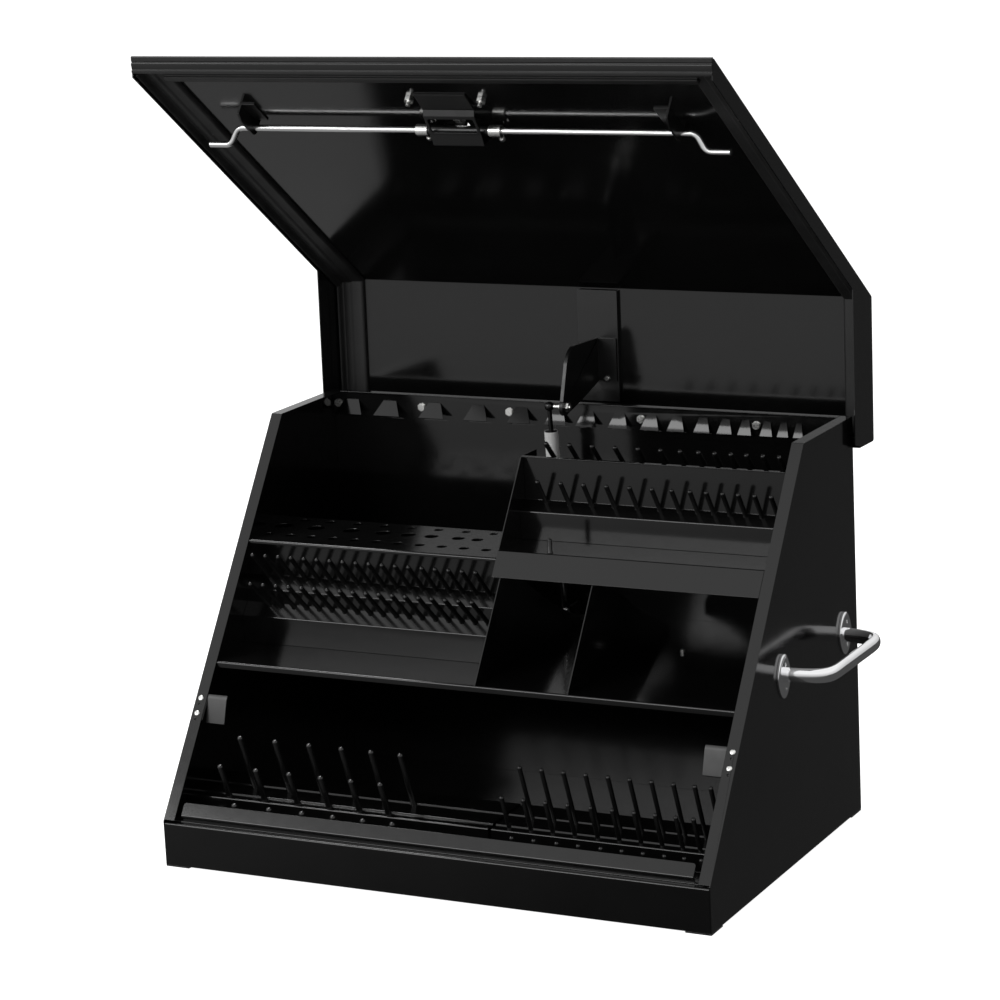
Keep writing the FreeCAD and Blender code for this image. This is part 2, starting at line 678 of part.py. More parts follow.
def socket_posts(rows, radius):
    posts = []
    for xs, tip, foot_y, foot_z in zip(rows, POST_TIPS, POST_FEET, STEP_Z[1:]):
        run = math.hypot(tip[0] - foot_y, tip[1] - foot_z)
        dy = (tip[0] - foot_y) / run
        dz = (tip[1] - foot_z) / run
        for x in xs:
            low = (x, foot_y - dy * 4, foot_z - dz * 4)
            end = (x, tip[0] - dy * radius * 0.6, tip[1] - dz * radius * 0.6)
            post = rod(low, end, radius)
            nose = Part.makeCone(radius, radius * 0.55, radius * 0.6, V(*end), V(0, dy, dz))
            post = post.fuse(nose).common(box(x - 20, x + 20, -20, 200, foot_z, 300))
            posts.append(post.removeSplitter())
    return group(posts)


def keeper():
    """Right keeper: a plate under the slope's flange with a turned lip for the rod's end."""
    x0, x1 = KEEPER_X
    s0, s1 = KEEPER_S
    low = -SHEET - KEEPER_THICK
    body = box(x0, x1, s0, s1, low, -SHEET)
    tip_top = LID_OFF - ROD_DEPTH - CRANK_SHIFT[1] + ROD_R
    lip = box(x0, ROD_TIP, s0, s0 + KEEPER_THICK, tip_top + PLAY, low)
    shape = body.fuse(lip)
    for s in RIVET_S:
        shape = shape.cut(rod((RIVET_X, s, -9), (RIVET_X, s, 9), RIVET_R + SCREW_CLEAR))
    return on_slope(shape.removeSplitter())


def keeper_rivets():
    rivets = []
    low = -SHEET - KEEPER_THICK
    for s in RIVET_S:
        head = rod((RIVET_X, s, 0), (RIVET_X, s, 0.2), 3.6)
        shank = rod((RIVET_X, s, low), (RIVET_X, s, 0), RIVET_R)
        tail = rod((RIVET_X, s, low - 1.2), (RIVET_X, s, low), 3.4)
        rivets.append(on_slope(fuse([head, shank, tail])))
    return group(rivets + [mirror(one) for one in rivets])


def handle_foot_holes(shape, y):
    for z in (HANDLE_Z - SCREW_SPREAD, HANDLE_Z + SCREW_SPREAD):
        shape = shape.cut(rod((HALF - 5, y, z), (HALF + 9, y, z), SCREW_R + SCREW_CLEAR))
    return shape


def handle_feet():
    """Oval end plates of the right bow handle."""
    half_y, half_z, thick = HANDLE_FOOT
    shapes = []
    for y in HANDLE_Y:
        oval = Part.Ellipse(V(0, 0, 0), half_z, half_y).toShape()
        disc = Part.Face(Part.Wire(oval)).extrude(V(0, 0, thick))
        turn = FreeCAD.Rotation(V(0, 0, 1), V(0, -1, 0), V(1, 0, 0), "XYZ")
        disc = disc.transformed(FreeCAD.Placement(V(HALF, y, HANDLE_Z), turn).toMatrix())
        shapes.append(handle_foot_holes(disc, y))
    return group(shapes)


def handle_bow():
    x0 = HALF + HANDLE_FOOT[2]
    x1 = HALF + HANDLE_REACH
    y0, y1 = HANDLE_Y
    points = [(x0 - 4, y0 + 4, HANDLE_Z), (x1, y0 + 14, HANDLE_Z), (x1, y1 - 14, HANDLE_Z),
              (x0 - 4, y1 - 4, HANDLE_Z)]
    wire = route(points, HANDLE_BEND)
    oval = Part.Ellipse(V(0, 0, 0), GRIP_HALF[1], GRIP_HALF[0]).toShape()
    start = V(*points[0])
    ahead = (V(*points[1]) - start).normalize()
    turn = FreeCAD.Rotation(V(0, 0, 1), ahead.cross(V(0, 0, 1)), ahead, "ZXY")
    ring = Part.Wire(oval).transformed(FreeCAD.Placement(start, turn).toMatrix())
    bow = wire.makePipeShell([ring], True, False)
    return bow.common(box(x0, x1 + 40, y0 - 40, y1 + 40, HANDLE_Z - 40, HANDLE_Z + 40))


def handle_screws():
    screws = []
    face = HALF + HANDLE_FOOT[2]
    for y in HANDLE_Y:
        for z in (HANDLE_Z - SCREW_SPREAD, HANDLE_Z + SCREW_SPREAD):
            head = Part.makeCone(4.2, 3.0, 2.4, V(face, y, z), V(1, 0, 0))
            shank = rod((INNER - 6.0, y, z), (face, y, z), SCREW_R)
            nut = hexagon((INNER, y, z), (-1, 0, 0), 8.0, 4.0)
            screws.append(fuse([head, shank, nut]))
    return group(screws + [mirror(one) for one in screws])


def lid_front():
    """Front edge of the closed lid's outer face."""
    return (LID_BEND_Y - LID_PANEL * UP[0], LID_TOP - LID_PANEL * UP[1])


def lid_shell():
    f = lid_front()
    end = (f[0] + LID_FRONT_FLANGE, f[1])
    face = [(SKIRT, HINGE_Z - KNUCKLE_R + 1), (SKIRT, LID_TOP), (LID_BEND_Y, LID_TOP), f, end]
    shell = bent(face, SHEET, -LID_HALF, LID_HALF, LID_BEND)
    low_z = LID_TOP - LID_TOP_FLANGE
    near = (LID_BEND_Y - OUT[0] * LID_SIDE_FLANGE, LID_TOP - OUT[1] * LID_SIDE_FLANGE)
    knee_y = near[0] - (near[1] - low_z) / math.tan(SLOPE)
    chamfer_y, chamfer_z = LID_CHAMFER
    front = (f[0] - LID_SIDE_FLANGE / OUT[0], f[1])
    outline = [(SKIRT, LID_TOP), (LID_BEND_Y, LID_TOP), f, front, (knee_y, low_z),
               (SKIRT - chamfer_y, low_z), (SKIRT, low_z + chamfer_z)]
    side = plate(outline, LID_HALF - SHEET, LID_HALF)
    rounded = [edge for edge in side.Edges for y, z in outline[:3]
               if edge.BoundBox.XLength > SHEET / 2
               and math.hypot(edge.CenterOfMass.y - y, edge.CenterOfMass.z - z) < 0.01]
    side = side.makeFillet(LID_BEND + SHEET, rounded)
    shell = fuse([shell, side, mirror(side)])
    slot = on_lid(box(-LEVER_HALF[0] - 1, LEVER_HALF[0] + 1, ROD_S - 21, ROD_S + 7, -1, SHEET + 1))
    lock = on_lid(rod((0, LOCK_S, -1), (0, LOCK_S, SHEET + 1), LOCK_R + 3.1))
    shell = shell.cut(group([slot, lock]))
    for x in PLATE_BOLT_X:
        shell = shell.cut(on_lid(rod((x, PLATE_BOLT_S, -1), (x, PLATE_BOLT_S, SHEET + 1), 3.1)))
    return shell


def seal_side():
    """Right seal: base strip and ridge along the slope, and along the top."""
    inner = LID_TOP - SHEET
    thick = STAND_OFF - SEAL_GAP
    bend = LID_OFF * math.tan(math.pi / 4 - (math.pi / 2 - SLOPE) / 2)
    end = LID_PANEL - (LID_OFF * UP[0] + SHEET) / UP[1] - PLAY
    pieces = []
    for (x0, x1), deep in ((SEAL_X, SEAL_BASE), (RIDGE_X, thick)):
        long = box(x0, x1, bend + 3, end, SHEET, SHEET + deep)
        pieces.append(on_lid(long))
        pieces.append(box(x0, x1, LID_BEND_Y + bend, SKIRT_IN - LEAF - 6, inner - deep, inner))
    slope = fuse([pieces[0], pieces[2]])
    top = fuse([pieces[1], pieces[3]])
    return group([slope, top])


def seal_front():
    edge = SEAL_X[0] - PLAY
    ridge = STAND_OFF - SEAL_GAP
    s1 = LID_BEND_S - 1.6
    base = box(-edge, edge, s1 - 24, s1, SHEET, SHEET + SEAL_BASE)
    bulb = box(-edge, edge, s1 - 15, s1 - 7, SHEET, SHEET + ridge)
    return on_lid(fuse([base, bulb]))


def seal_rear():
    edge = SEAL_X[0] - PLAY
    inner = LID_TOP - SHEET
    y1 = SKIRT_IN - LEAF - 6
    base = box(-edge, edge, y1 - 20, y1, inner - SEAL_BASE, inner)
    bulb = box(-edge, edge, y1 - 14, y1 - 6, inner - STAND_OFF + SEAL_GAP, inner)
    return fuse([base, bulb])


def lid_rivets():
    """Rivets that hold the hinge's lid leaf to the skirt."""
    rivets = []
    z = HINGE_Z + LEAF_HEIGHT - 8
    for bolt_x in HINGE_BOLTS:
        x = bolt_x - math.copysign(LID_RIVET_SHIFT, bolt_x)
        rivets.append(rod((x, SKIRT, z), (x, SKIRT + 1.5, z), 4.0))
    return group(rivets)


def hat_channel():
    x0, x1 = CHANNEL_X
    y0 = LID_BEND_Y + CHANNEL_PAST_BEND
    y1 = closed_point(STRUT_HEAD)[0] + CHANNEL_PAST_BALL
    inner = LID_TOP - SHEET
    outer = box(x0, x1, y0, y1, inner - CHANNEL_DEEP, inner)
    return outer.cut(box(x0 + SHEET, x1 - SHEET, y0 - 1, y1 + 1, inner - CHANNEL_DEEP + SHEET, inner))


def from_ball(x, place):
    """Point of the closed lid from its place (y, z) relative to the strut's upper ball."""
    ball = closed_point(STRUT_HEAD)
    return V(x, ball[0] + place[0], ball[1] + place[1])


def gooseneck():
    """Angle bracket from the channel to the strut's upper ball."""
    web = LID_TOP - SHEET - CHANNEL_DEEP
    ball = closed_point(STRUT_HEAD)
    x0, x1 = GOOSE_X
    foot_y = (ball[0] + GOOSE_FOOT[0], ball[0] + GOOSE_FOOT[1])
    heel = V(x0, foot_y[0], web)
    toe = V(x0, foot_y[1], web)
    front = [from_ball(x0, place) for place in GOOSE_FRONT]
    eye = [from_ball(x0, place) for place in GOOSE_EYE]
    back = from_ball(x0, GOOSE_BACK)
    edges = [Part.makeLine(heel, front[0]), Part.Arc(*front).toShape(),
             Part.makeLine(front[2], eye[0]), Part.Arc(*eye).toShape(),
             Part.makeLine(eye[2], back), Part.makeLine(back, toe), Part.makeLine(toe, heel)]
    arm = Part.Face(Part.Wire(edges)).extrude(V(x1 - x0, 0, 0))
    foot = box(x0, CHANNEL_X[1] - 2, *foot_y, web - 3.0, web)
    shape = fuse([arm, foot])
    shape = shape.cut(rod((x0 - 5, *ball), (x1 + 5, *ball), STUD_R + 0.05))
    x, y = GOOSE_SCREW[0], ball[0] + GOOSE_SCREW[1]
    return shape.cut(rod((x, y, web - 9), (x, y, web + 9), GOOSE_SCREW_R + SCREW_CLEAR))


def gooseneck_screw():
    web = LID_TOP - SHEET - CHANNEL_DEEP
    x, y = GOOSE_SCREW[0], closed_point(STRUT_HEAD)[0] + GOOSE_SCREW[1]
    head = Part.makeCone(4.5, 3.2, 2.4, V(x, y, web - 3.0), V(0, 0, -1))
    return head.fuse(rod((x, y, web - 3.0), (x, y, web), GOOSE_SCREW_R)).removeSplitter()


def strut_stud():
    """Upper ball stud, cut short of its socket, and the nut behind the bracket."""
    ball = closed_point(STRUT_HEAD)
    x0 = STRUT_X + SOCKET_R + 2 * PLAY
    stud = rod((x0, *ball), (GOOSE_X[1] + 7.0, *ball), STUD_R)
    collar = rod((GOOSE_X[0] - 4.0, *ball), (GOOSE_X[0], *ball), 5.5)
    nut = hexagon((GOOSE_X[1], *ball), (1, 0, 0), 12.0, 5.0)
    return fuse([stud, collar, nut])


def strut_place(shape):
    """From a strut standing upright at its lower ball to the strut at rest."""
    lean = math.degrees(math.atan2(STRUT_FOOT[0] - STRUT_HEAD[0], STRUT_HEAD[1] - STRUT_FOOT[1]))
    move = FreeCAD.Placement(V(STRUT_X, *STRUT_FOOT), FreeCAD.Rotation(V(1, 0, 0), lean))
    return shape.transformed(move.toMatrix())


def strut_long():
    return math.hypot(STRUT_HEAD[0] - STRUT_FOOT[0], STRUT_HEAD[1] - STRUT_FOOT[1])


def strut_bracket():
    y, z = STRUT_FOOT
    x0 = STRUT_X + SOCKET_R + 6.0
    wall = box(x0, x0 + 3, y - 12, y + 12, MID_SHELF_Z, z + 12)
    foot = box(x0, x0 + 22, y - 12, y + 12, MID_SHELF_Z, MID_SHELF_Z + 3)
    stud = rod((STRUT_X, y, z), (x0, y, z), 2.4)
    ball = Part.makeSphere(BALL_R, V(STRUT_X, y, z), V(1, 0, 0))
    return fuse([wall, foot, stud, ball])


def strut_rod():
    start = strut_long() - STRUT_NECK - STRUT_TUBE
    centre, across = V(0, 0, 0), V(1, 0, 0)
    socket = Part.makeSphere(SOCKET_R, centre, across)
    socket = socket.cut(Part.makeSphere(BALL_R + RUNNING, centre, across))
    socket = socket.cut(rod((0, 0, 0), (SOCKET_R + 2, 0, 0), 3.0))
    shaft = rod((0, 0, SOCKET_R - 1.5), (0, 0, start + 9), STRUT_ROD_R)
    piston = rod((0, 0, start + 8), (0, 0, start + 16), STRUT_BORE_R - RUNNING)
    return strut_place(fuse([socket, shaft, piston]))


def strut_cylinder():
    top = strut_long() - STRUT_NECK
    low = top - STRUT_TUBE
    shell = rod((0, 0, low), (0, 0, top), STRUT_TUBE_R)
    shell = shell.cut(rod((0, 0, low + 6), (0, 0, top - 4), STRUT_BORE_R))
    return strut_place(shell.cut(rod((0, 0, low - 1), (0, 0, low + 7), STRUT_ROD_R + RUNNING)))


def strut_band():
    top = strut_long() - STRUT_NECK - 1.0
    long, thick = BAND
    ring = rod((0, 0, top - long), (0, 0, top), STRUT_TUBE_R + 0.05 + thick)
    return strut_place(ring.cut(rod((0, 0, top - long - 1), (0, 0, top + 1), STRUT_TUBE_R + 0.05)))


def strut_end():
    top = strut_long()
    socket = Part.makeSphere(SOCKET_R, V(0, 0, top))
    neck = rod((0, 0, top - STRUT_NECK), (0, 0, top - SOCKET_R + 2), 3.0)
    return strut_place(fuse([socket, neck]))


def crank_points(x_in):
    s, d = ROD_S, ROD_DEPTH
    ds, dd = CRANK_SHIFT
    return [(x_in, s, d), (ROD_CRANK, s, d), (ROD_CRANK + CRANK_RUN, s + ds, d + dd),
            (ROD_TIP, s + ds, d + dd)]


def latch_rod():
    return on_lid(tube(crank_points(ROD_INNER), CRANK_BEND, ROD_R))


def rod_collars():
    """Collars that join the rods to the cross bar."""
    shapes = []
    for side in (-1, 1):
        x0 = ROD_INNER - COLLAR_LONG / 2
        x1 = ROD_INNER + COLLAR_LONG / 2
        ring = rod((side * x0, ROD_S, ROD_DEPTH), (side * x1, ROD_S, ROD_DEPTH), COLLAR_R)
        inner = rod((side * x0, ROD_S, ROD_DEPTH), (side * ROD_INNER, ROD_S, ROD_DEPTH), CROSS_R)
        outer = rod((side * ROD_INNER, ROD_S, ROD_DEPTH), (side * x1, ROD_S, ROD_DEPTH), ROD_R)
        hole = rod((side * ROD_INNER, ROD_S, ROD_DEPTH),
                   (side * ROD_INNER, ROD_S - 20, ROD_DEPTH), 2.5)
        shapes.append(on_lid(ring.cut(inner).cut(outer).cut(hole)))
    return group(shapes)


def collar_screws():
    screws = []
    for side in (-1, 1):
        x = side * ROD_INNER
        s0 = ROD_S - CROSS_R - 0.05
        shank = rod((x, s0, ROD_DEPTH), (x, ROD_S - 17, ROD_DEPTH), 2.4)
        head = hexagon((x, ROD_S - 17, ROD_DEPTH), (0, -1, 0), 7.0, 5.0)
        screws.append(on_lid(fuse([shank, head])))
    return group(screws)


def cross_bar():
    return on_lid(rod((-ROD_INNER, ROD_S, ROD_DEPTH), (ROD_INNER, ROD_S, ROD_DEPTH), CROSS_R))


def latch_lever():
    """Lever from the cross bar out through the lid to its grip."""
    w, t = LEVER_HALF
    arm = box(-w, w, ROD_S - t, ROD_S + t, -LEVER_OUT, ROD_DEPTH - 2)
    grip = rod((-LEVER_GRIP, ROD_S, -LEVER_OUT - 4), (LEVER_GRIP, ROD_S, -LEVER_OUT - 4), 6.0)
    bar = rod((-ROD_INNER, ROD_S, ROD_DEPTH), (ROD_INNER, ROD_S, ROD_DEPTH), CROSS_R)
    return on_lid(fuse([arm, grip]).cut(bar))


def rod_guide():
    """Right bearing plate for a rod, with its foot on the lid."""
    x0 = GUIDE_X
    long = GUIDE_EDGE[0][0]
    points = [V(x0, ROD_S + long, SHEET)] + [V(x0, ROD_S + s, deep) for s, deep in GUIDE_EDGE]
    nose_s, nose_d = GUIDE_NOSE
    corner = math.sqrt(0.5)
    middle = V(x0, ROD_S - nose_s * corner, ROD_DEPTH + nose_d * corner)
    low = V(x0, ROD_S - nose_s, ROD_DEPTH)
    foot = V(x0, ROD_S - nose_s, SHEET)
    edges = [Part.makeLine(points[0], points[1]), Part.makeLine(points[1], points[2]),
             Part.makeLine(points[2], points[3]), Part.Arc(points[3], middle, low).toShape(),
             Part.makeLine(low, foot), Part.makeLine(foot, points[0])]
    wall = Part.Face(Part.Wire(edges)).extrude(V(GUIDE_THICK, 0, 0))
    wide, thick = GUIDE_FOOT
    base = box(x0 - wide, x0 + GUIDE_THICK, ROD_S + 2, ROD_S + long, SHEET, SHEET + thick)
    shape = fuse([wall, base])
    bore = rod((x0 - 9, ROD_S, ROD_DEPTH), (x0 + 9, ROD_S, ROD_DEPTH), ROD_R + RUNNING)
    return on_lid(shape.cut(bore))


def latch_strap():
    """Stepped strap over the cross bar, with a window."""
    steps = [(s, SHEET + rise) for s, rise in reversed(STRAP)]
    strap = bent(steps, STRAP_SHEET, -STRAP_HALF, STRAP_HALF, 0.6)
    half, s0, s1, corner = STRAP_WINDOW
    window = box(-half, half, s0, s1, 0, 40)
    corners = [edge for edge in window.Edges
               if abs(edge.tangentAt(edge.FirstParameter).z) > 0.9]
    window = window.makeFillet(corner, corners)
    return on_lid(strap.cut(window))


def latch_plate():
    """Outer plate around the lever and the lock."""
    x = PLATE_HALF
    body = box(-x, x, PLATE_S[0], PLATE_S[1], -PLATE_THICK, 0)
    upright = [edge for edge in body.Edges if abs(edge.tangentAt(edge.FirstParameter).z) > 0.9]
    body = body.makeFillet(10.0, upright)
    slot = box(-LEVER_HALF[0] - 1, LEVER_HALF[0] + 1, ROD_S - 21, ROD_S + 7, -9, 9)
    body = body.cut(slot).cut(rod((0, LOCK_S, -9), (0, LOCK_S, 9), LOCK_R + 3.1))
    for x in PLATE_BOLT_X:
        body = body.cut(rod((x, PLATE_BOLT_S, -9), (x, PLATE_BOLT_S, 9), 3.1))
    return on_lid(body)


def latch_bolts():
    bolts = []
    s = PLATE_BOLT_S
    for x in PLATE_BOLT_X:
        head = Part.makeCone(6.5, 4.0, 3.0, V(x, s, -PLATE_THICK), V(0, 0, -1))
        shank = rod((x, s, -PLATE_THICK), (x, s, SHEET + 11), 3.0)
        nut = hexagon((x, s, SHEET), (0, 0, 1), 11.0, 5.5)
        bolts.append(on_lid(fuse([head, shank, nut])))
    return group(bolts)


def lock_case():
    ring = rod((0, LOCK_S, -PLATE_THICK - 3.0), (0, LOCK_S, 4.5), LOCK_R + 3.0)
    rim = rod((0, LOCK_S, -PLATE_THICK - 3.0), (0, LOCK_S, -PLATE_THICK), LOCK_R + 6.0)
    bore = rod((0, LOCK_S, -20), (0, LOCK_S, 20), LOCK_R + RUNNING)
    return on_lid(fuse([ring, rim]).cut(bore))


def lock_plug():
    """Key plug with its slot and the cam on its inner end."""
    plug = rod((0, LOCK_S, -PLATE_THICK - 3.0), (0, LOCK_S, 4.6), LOCK_R)
    cam = rod((0, LOCK_S, 4.6), (0, LOCK_S, 6.6), LOCK_R)
    arm = box(-4.5, 4.5, LOCK_S - 18, LOCK_S, 4.6, 6.6)
    key = box(-0.9, 0.9, LOCK_S - 4.5, LOCK_S + 4.5, -PLATE_THICK - 4.0, -PLATE_THICK + 2.0)
    return on_lid(fuse([plug, cam, arm]).cut(key))


def write(name, shape):
    shape = shape.copy()
    shape.translate(V(0, -DEPTH / 2, 0))
    shape.exportStep(os.path.join("parts", name + ".step"))


def main():
    os.makedirs("parts", exist_ok=True)

    side = side_panel()
    write("side_panel_right", side)
    write("side_panel_left", mirror(side))
    write("back_panel", back_panel())
    write("floor_pan", box(-INNER, INNER, SHEET, BACK_IN, FOOT_HEIGHT, FLOOR))
    write("front_lip", front_lip())
    write("corner_feet", feet())

    write("hook_rail", top_rail())
    write("hinge_body_leaf", hinge_leaf(True))
    write("hinge_pin", hinge_pin())
    write("hinge_bolts", hinge_bolts())

    write("mid_shelf", mid_shelf())
    write("shelf_screws", shelf_screws())
    write("shelf_left", shelf_left())
    write("wrench_rack_left", wrench_rack_left())
    write("wrench_pins_left", wrench_pins_left())
    write("tray_right", tray_right())
    write("tray_peg", tray_peg())
    write("wrench_rack_right_front", wrench_rack_right_front())
    write("wrench_rack_right_back", wrench_rack_right_back())
    write("wrench_pins_right", wrench_pins_right())
    write("divider_left", divider(DIVIDER_X[0]))
    write("divider_right", divider(DIVIDER_X[1]))
    write("socket_rack_left", socket_rack(-INNER, RACK_SPLIT - RACK_GAP / 2))
    write("socket_rack_right", socket_rack(RACK_SPLIT + RACK_GAP / 2, INNER))
    write("socket_posts_left", socket_posts(LEFT_POSTS, POST_LEFT_R))
    write("socket_posts_right", socket_posts(RIGHT_POSTS, POST_RIGHT_R))

    right_keeper = keeper()
    write("keeper_right", right_keeper)
    write("keeper_left", mirror(right_keeper))
    write("keeper_rivets", keeper_rivets())

    bow = handle_bow()
    ends = handle_feet()
    write("handle_bow_right", bow)
    write("handle_bow_left", mirror(bow))
    write("handle_feet_right", ends)
    write("handle_feet_left", mirror(ends))
    write("handle_screws", handle_screws())

    write("lid_shell", opened(lid_shell()))
    write("hinge_lid_leaf", opened(hinge_leaf(False)))
    seal = seal_side()
    write("seal_right", opened(seal))
    write("seal_left", opened(mirror(seal)))
    write("seal_front", opened(seal_front()))
    write("seal_rear", opened(seal_rear()))
    write("hat_channel", opened(hat_channel()))
    write("gooseneck_bracket", opened(gooseneck()))
    write("lid_fasteners", opened(group([gooseneck_screw()] + lid_rivets().Solids)))

    write("strut_ball_stud", opened(strut_stud()))
    write("strut_lower_bracket", strut_bracket())
    write("strut_rod", strut_rod())
    write("strut_cylinder", strut_cylinder())
    write("strut_band", strut_band())
    write("strut_end_fitting", strut_end())

    latch = latch_rod()
    guide = rod_guide()
    write("latch_rod_right", opened(latch))
    write("latch_rod_left", opened(mirror(latch)))
    write("rod_guide_right", opened(guide))
    write("rod_guide_left", opened(mirror(guide)))
    write("latch_couplings", opened(group(rod_collars().Solids + collar_screws().Solids)))
    write("latch_lever", opened(group([cross_bar()] + latch_lever().Solids)))
    write("latch_strap", opened(latch_strap()))
    write("latch_plate", opened(latch_plate()))
    write("latch_bolts", opened(latch_bolts()))
    write("key_lock", opened(group([lock_case()])))
    write("key_plug", opened(lock_plug()))


main()
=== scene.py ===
import json
import math

import bmesh
import bpy
import numpy as np
from mathutils import Matrix, Vector


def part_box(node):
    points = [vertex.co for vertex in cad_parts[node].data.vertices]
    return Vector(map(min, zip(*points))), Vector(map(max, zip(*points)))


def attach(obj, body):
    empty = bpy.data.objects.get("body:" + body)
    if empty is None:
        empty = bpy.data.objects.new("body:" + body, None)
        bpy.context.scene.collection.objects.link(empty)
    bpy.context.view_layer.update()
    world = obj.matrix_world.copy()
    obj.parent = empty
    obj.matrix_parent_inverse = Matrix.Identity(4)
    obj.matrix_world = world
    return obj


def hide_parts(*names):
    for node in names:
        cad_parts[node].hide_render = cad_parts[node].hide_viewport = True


bl_info = {
    "name": "Portable Toolbox",
    "version": (1, 0, 0),
    "blender": (4, 5, 0),
    "location": "View3D > Sidebar > Toolbox",
    "description": "Models and paints a slope-front portable toolbox around its packed frame",
    "category": "Add Mesh",
}

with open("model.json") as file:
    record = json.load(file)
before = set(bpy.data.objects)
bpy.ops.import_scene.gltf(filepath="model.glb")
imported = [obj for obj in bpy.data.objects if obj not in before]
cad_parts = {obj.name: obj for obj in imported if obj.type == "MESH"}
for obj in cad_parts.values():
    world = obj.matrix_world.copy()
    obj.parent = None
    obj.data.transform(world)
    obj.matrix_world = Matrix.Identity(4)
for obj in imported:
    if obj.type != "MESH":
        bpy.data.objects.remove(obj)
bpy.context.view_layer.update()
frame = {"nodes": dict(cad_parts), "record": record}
NODES = frame["nodes"]

MM = 0.001
MERGE = 0.01 * MM
SLOPE = math.radians(54.75)
UP_SLOPE = Vector((0, math.cos(SLOPE), math.sin(SLOPE)))
OFF_SLOPE = Vector((0, -math.sin(SLOPE), math.cos(SLOPE)))
# Directions on the open lid, which is turned back by OPEN from the closed one
OPEN = math.radians(91)
PANEL_IN = Vector((0, -math.sin(OPEN - SLOPE), -math.cos(OPEN - SLOPE)))
TO_FRONT = Vector((0, -math.cos(OPEN - SLOPE), math.sin(OPEN - SLOPE)))
TOP_IN = Vector((0, -math.sin(OPEN), -math.cos(OPEN)))
TO_HINGE = Vector((0, math.cos(OPEN), -math.sin(OPEN)))
BODY_OF = {node: body for body, nodes in frame["record"]["behaviour"]["bodies"].items()
           for node in nodes}
SLOT_OF = {part["node"]: part["material_slot"] for part in frame["record"]["subparts"]}


# Selection and edit mode

def clear():
    bpy.ops.object.select_all(action="DESELECT")


def activate(piece):
    clear()
    piece.select_set(True)
    bpy.context.view_layer.objects.active = piece


def edit(piece):
    activate(piece)
    bpy.ops.object.mode_set(mode="EDIT")
    bpy.ops.mesh.select_all(action="SELECT")


def leave():
    bpy.ops.object.mode_set(mode="OBJECT")


def apply(piece, kind, **settings):
    """Give a piece a modifier and apply it."""
    activate(piece)
    modifier = piece.modifiers.new(kind, kind)
    for key, value in settings.items():
        setattr(modifier, key, value)
    bpy.ops.object.modifier_apply(modifier=modifier.name)


def joined(pieces, name):
    """Join pieces into one and name it."""
    clear()
    for piece in pieces:
        piece.select_set(True)
    bpy.context.view_layer.objects.active = pieces[0]
    if len(pieces) > 1:
        bpy.ops.object.join()
    piece = bpy.context.view_layer.objects.active
    piece.name = name
    piece.data.name = name
    return piece


def facing_out(piece):
    """Merge doubles and turn every face outwards."""
    edit(piece)
    bpy.ops.mesh.remove_doubles(threshold=MERGE)
    bpy.ops.mesh.select_all(action="SELECT")
    bpy.ops.mesh.normals_make_consistent(inside=False)
    leave()


def place_mesh(piece, matrix):
    """Move a piece's place into its mesh."""
    piece.data.transform(matrix @ piece.matrix_world)
    piece.matrix_world = Matrix.Identity(4)


def aim(start, end):
    """Matrix that takes +Z at the origin to the line from start to end."""
    turn = (Vector(end) - Vector(start)).to_track_quat("Z", "Y")
    return Matrix.Translation(start) @ turn.to_matrix().to_4x4()


def smooth(piece, angle=38):
    activate(piece)
    bpy.ops.object.shade_smooth_by_angle(angle=math.radians(angle))


# Shapes

def copy_of(name, *nodes):
    """New piece with the merged meshes of CAD nodes, its flat faces made whole."""
    made = []
    for node in nodes:
        twin = bpy.data.objects.new(name, NODES[node].data.copy())
        bpy.context.scene.collection.objects.link(twin)
        made.append(twin)
    piece = joined(made, name)
    edit(piece)
    bpy.ops.mesh.remove_doubles(threshold=MERGE)
    bpy.ops.mesh.select_all(action="SELECT")
    bpy.ops.mesh.dissolve_limited(angle_limit=math.radians(0.5), delimit=set())
    leave()
    return piece


def round_edges(piece, width, segments=2, angle=32, clamp=False):
    """Round the sharp edges of a piece and keep its flat faces flat."""
    apply(piece, "BEVEL", width=width, segments=segments, limit_method="ANGLE",
          angle_limit=math.radians(angle), use_clamp_overlap=clamp)
    smooth(piece)
    apply(piece, "WEIGHTED_NORMAL", keep_sharp=True, weight=50)


def soften(node, width, segments=2, angle=32, clamp=False, slot=None):
    """Piece that stands for a CAD node, with its sheet and machined edges rounded."""
    piece = copy_of(node + "_finished", node)
    round_edges(piece, width, segments, angle, clamp)
    finish(piece, node, slot=slot)
    return piece


def finish(piece, *nodes, body=None, slot=None):
    """Give a piece its material, body and slot, and let it stand for CAD nodes."""
    slot = slot or SLOT_OF[nodes[0]]
    piece.data.materials.clear()
    piece.data.materials.append(material(slot))
    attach(piece, body or BODY_OF[nodes[0]])
    if nodes:
        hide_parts(*nodes)


def turned(name, profile, sides=32):
    """Closed piece of revolution on +Z through rings of (height, radius)."""
    clear()
    height, radius = profile[0]
    bpy.ops.mesh.primitive_circle_add(vertices=sides, radius=radius, fill_type="NGON")
    piece = bpy.context.object
    piece.name = name
    edit(piece)
    bpy.ops.transform.translate(value=(0, 0, height))
    for next_height, next_radius in profile[1:]:
        bpy.ops.mesh.extrude_region_move(
            TRANSFORM_OT_translate={"value": (0, 0, next_height - height)})
        share = next_radius / radius
        bpy.ops.transform.resize(value=(share, share, 1))
        height, radius = next_height, next_radius
    leave()
    facing_out(piece)
    return piece


def domed(start, end, radius, steps=4, top=0.12):
    """Rings of a shaft with a domed end."""
    rings = [(start, radius)]
    for k in range(steps + 1):
        a = math.radians(90 - math.degrees(math.asin(top))) * k / steps
        rings.append((end - radius + radius * math.sin(a), radius * math.cos(a)))
    return rings


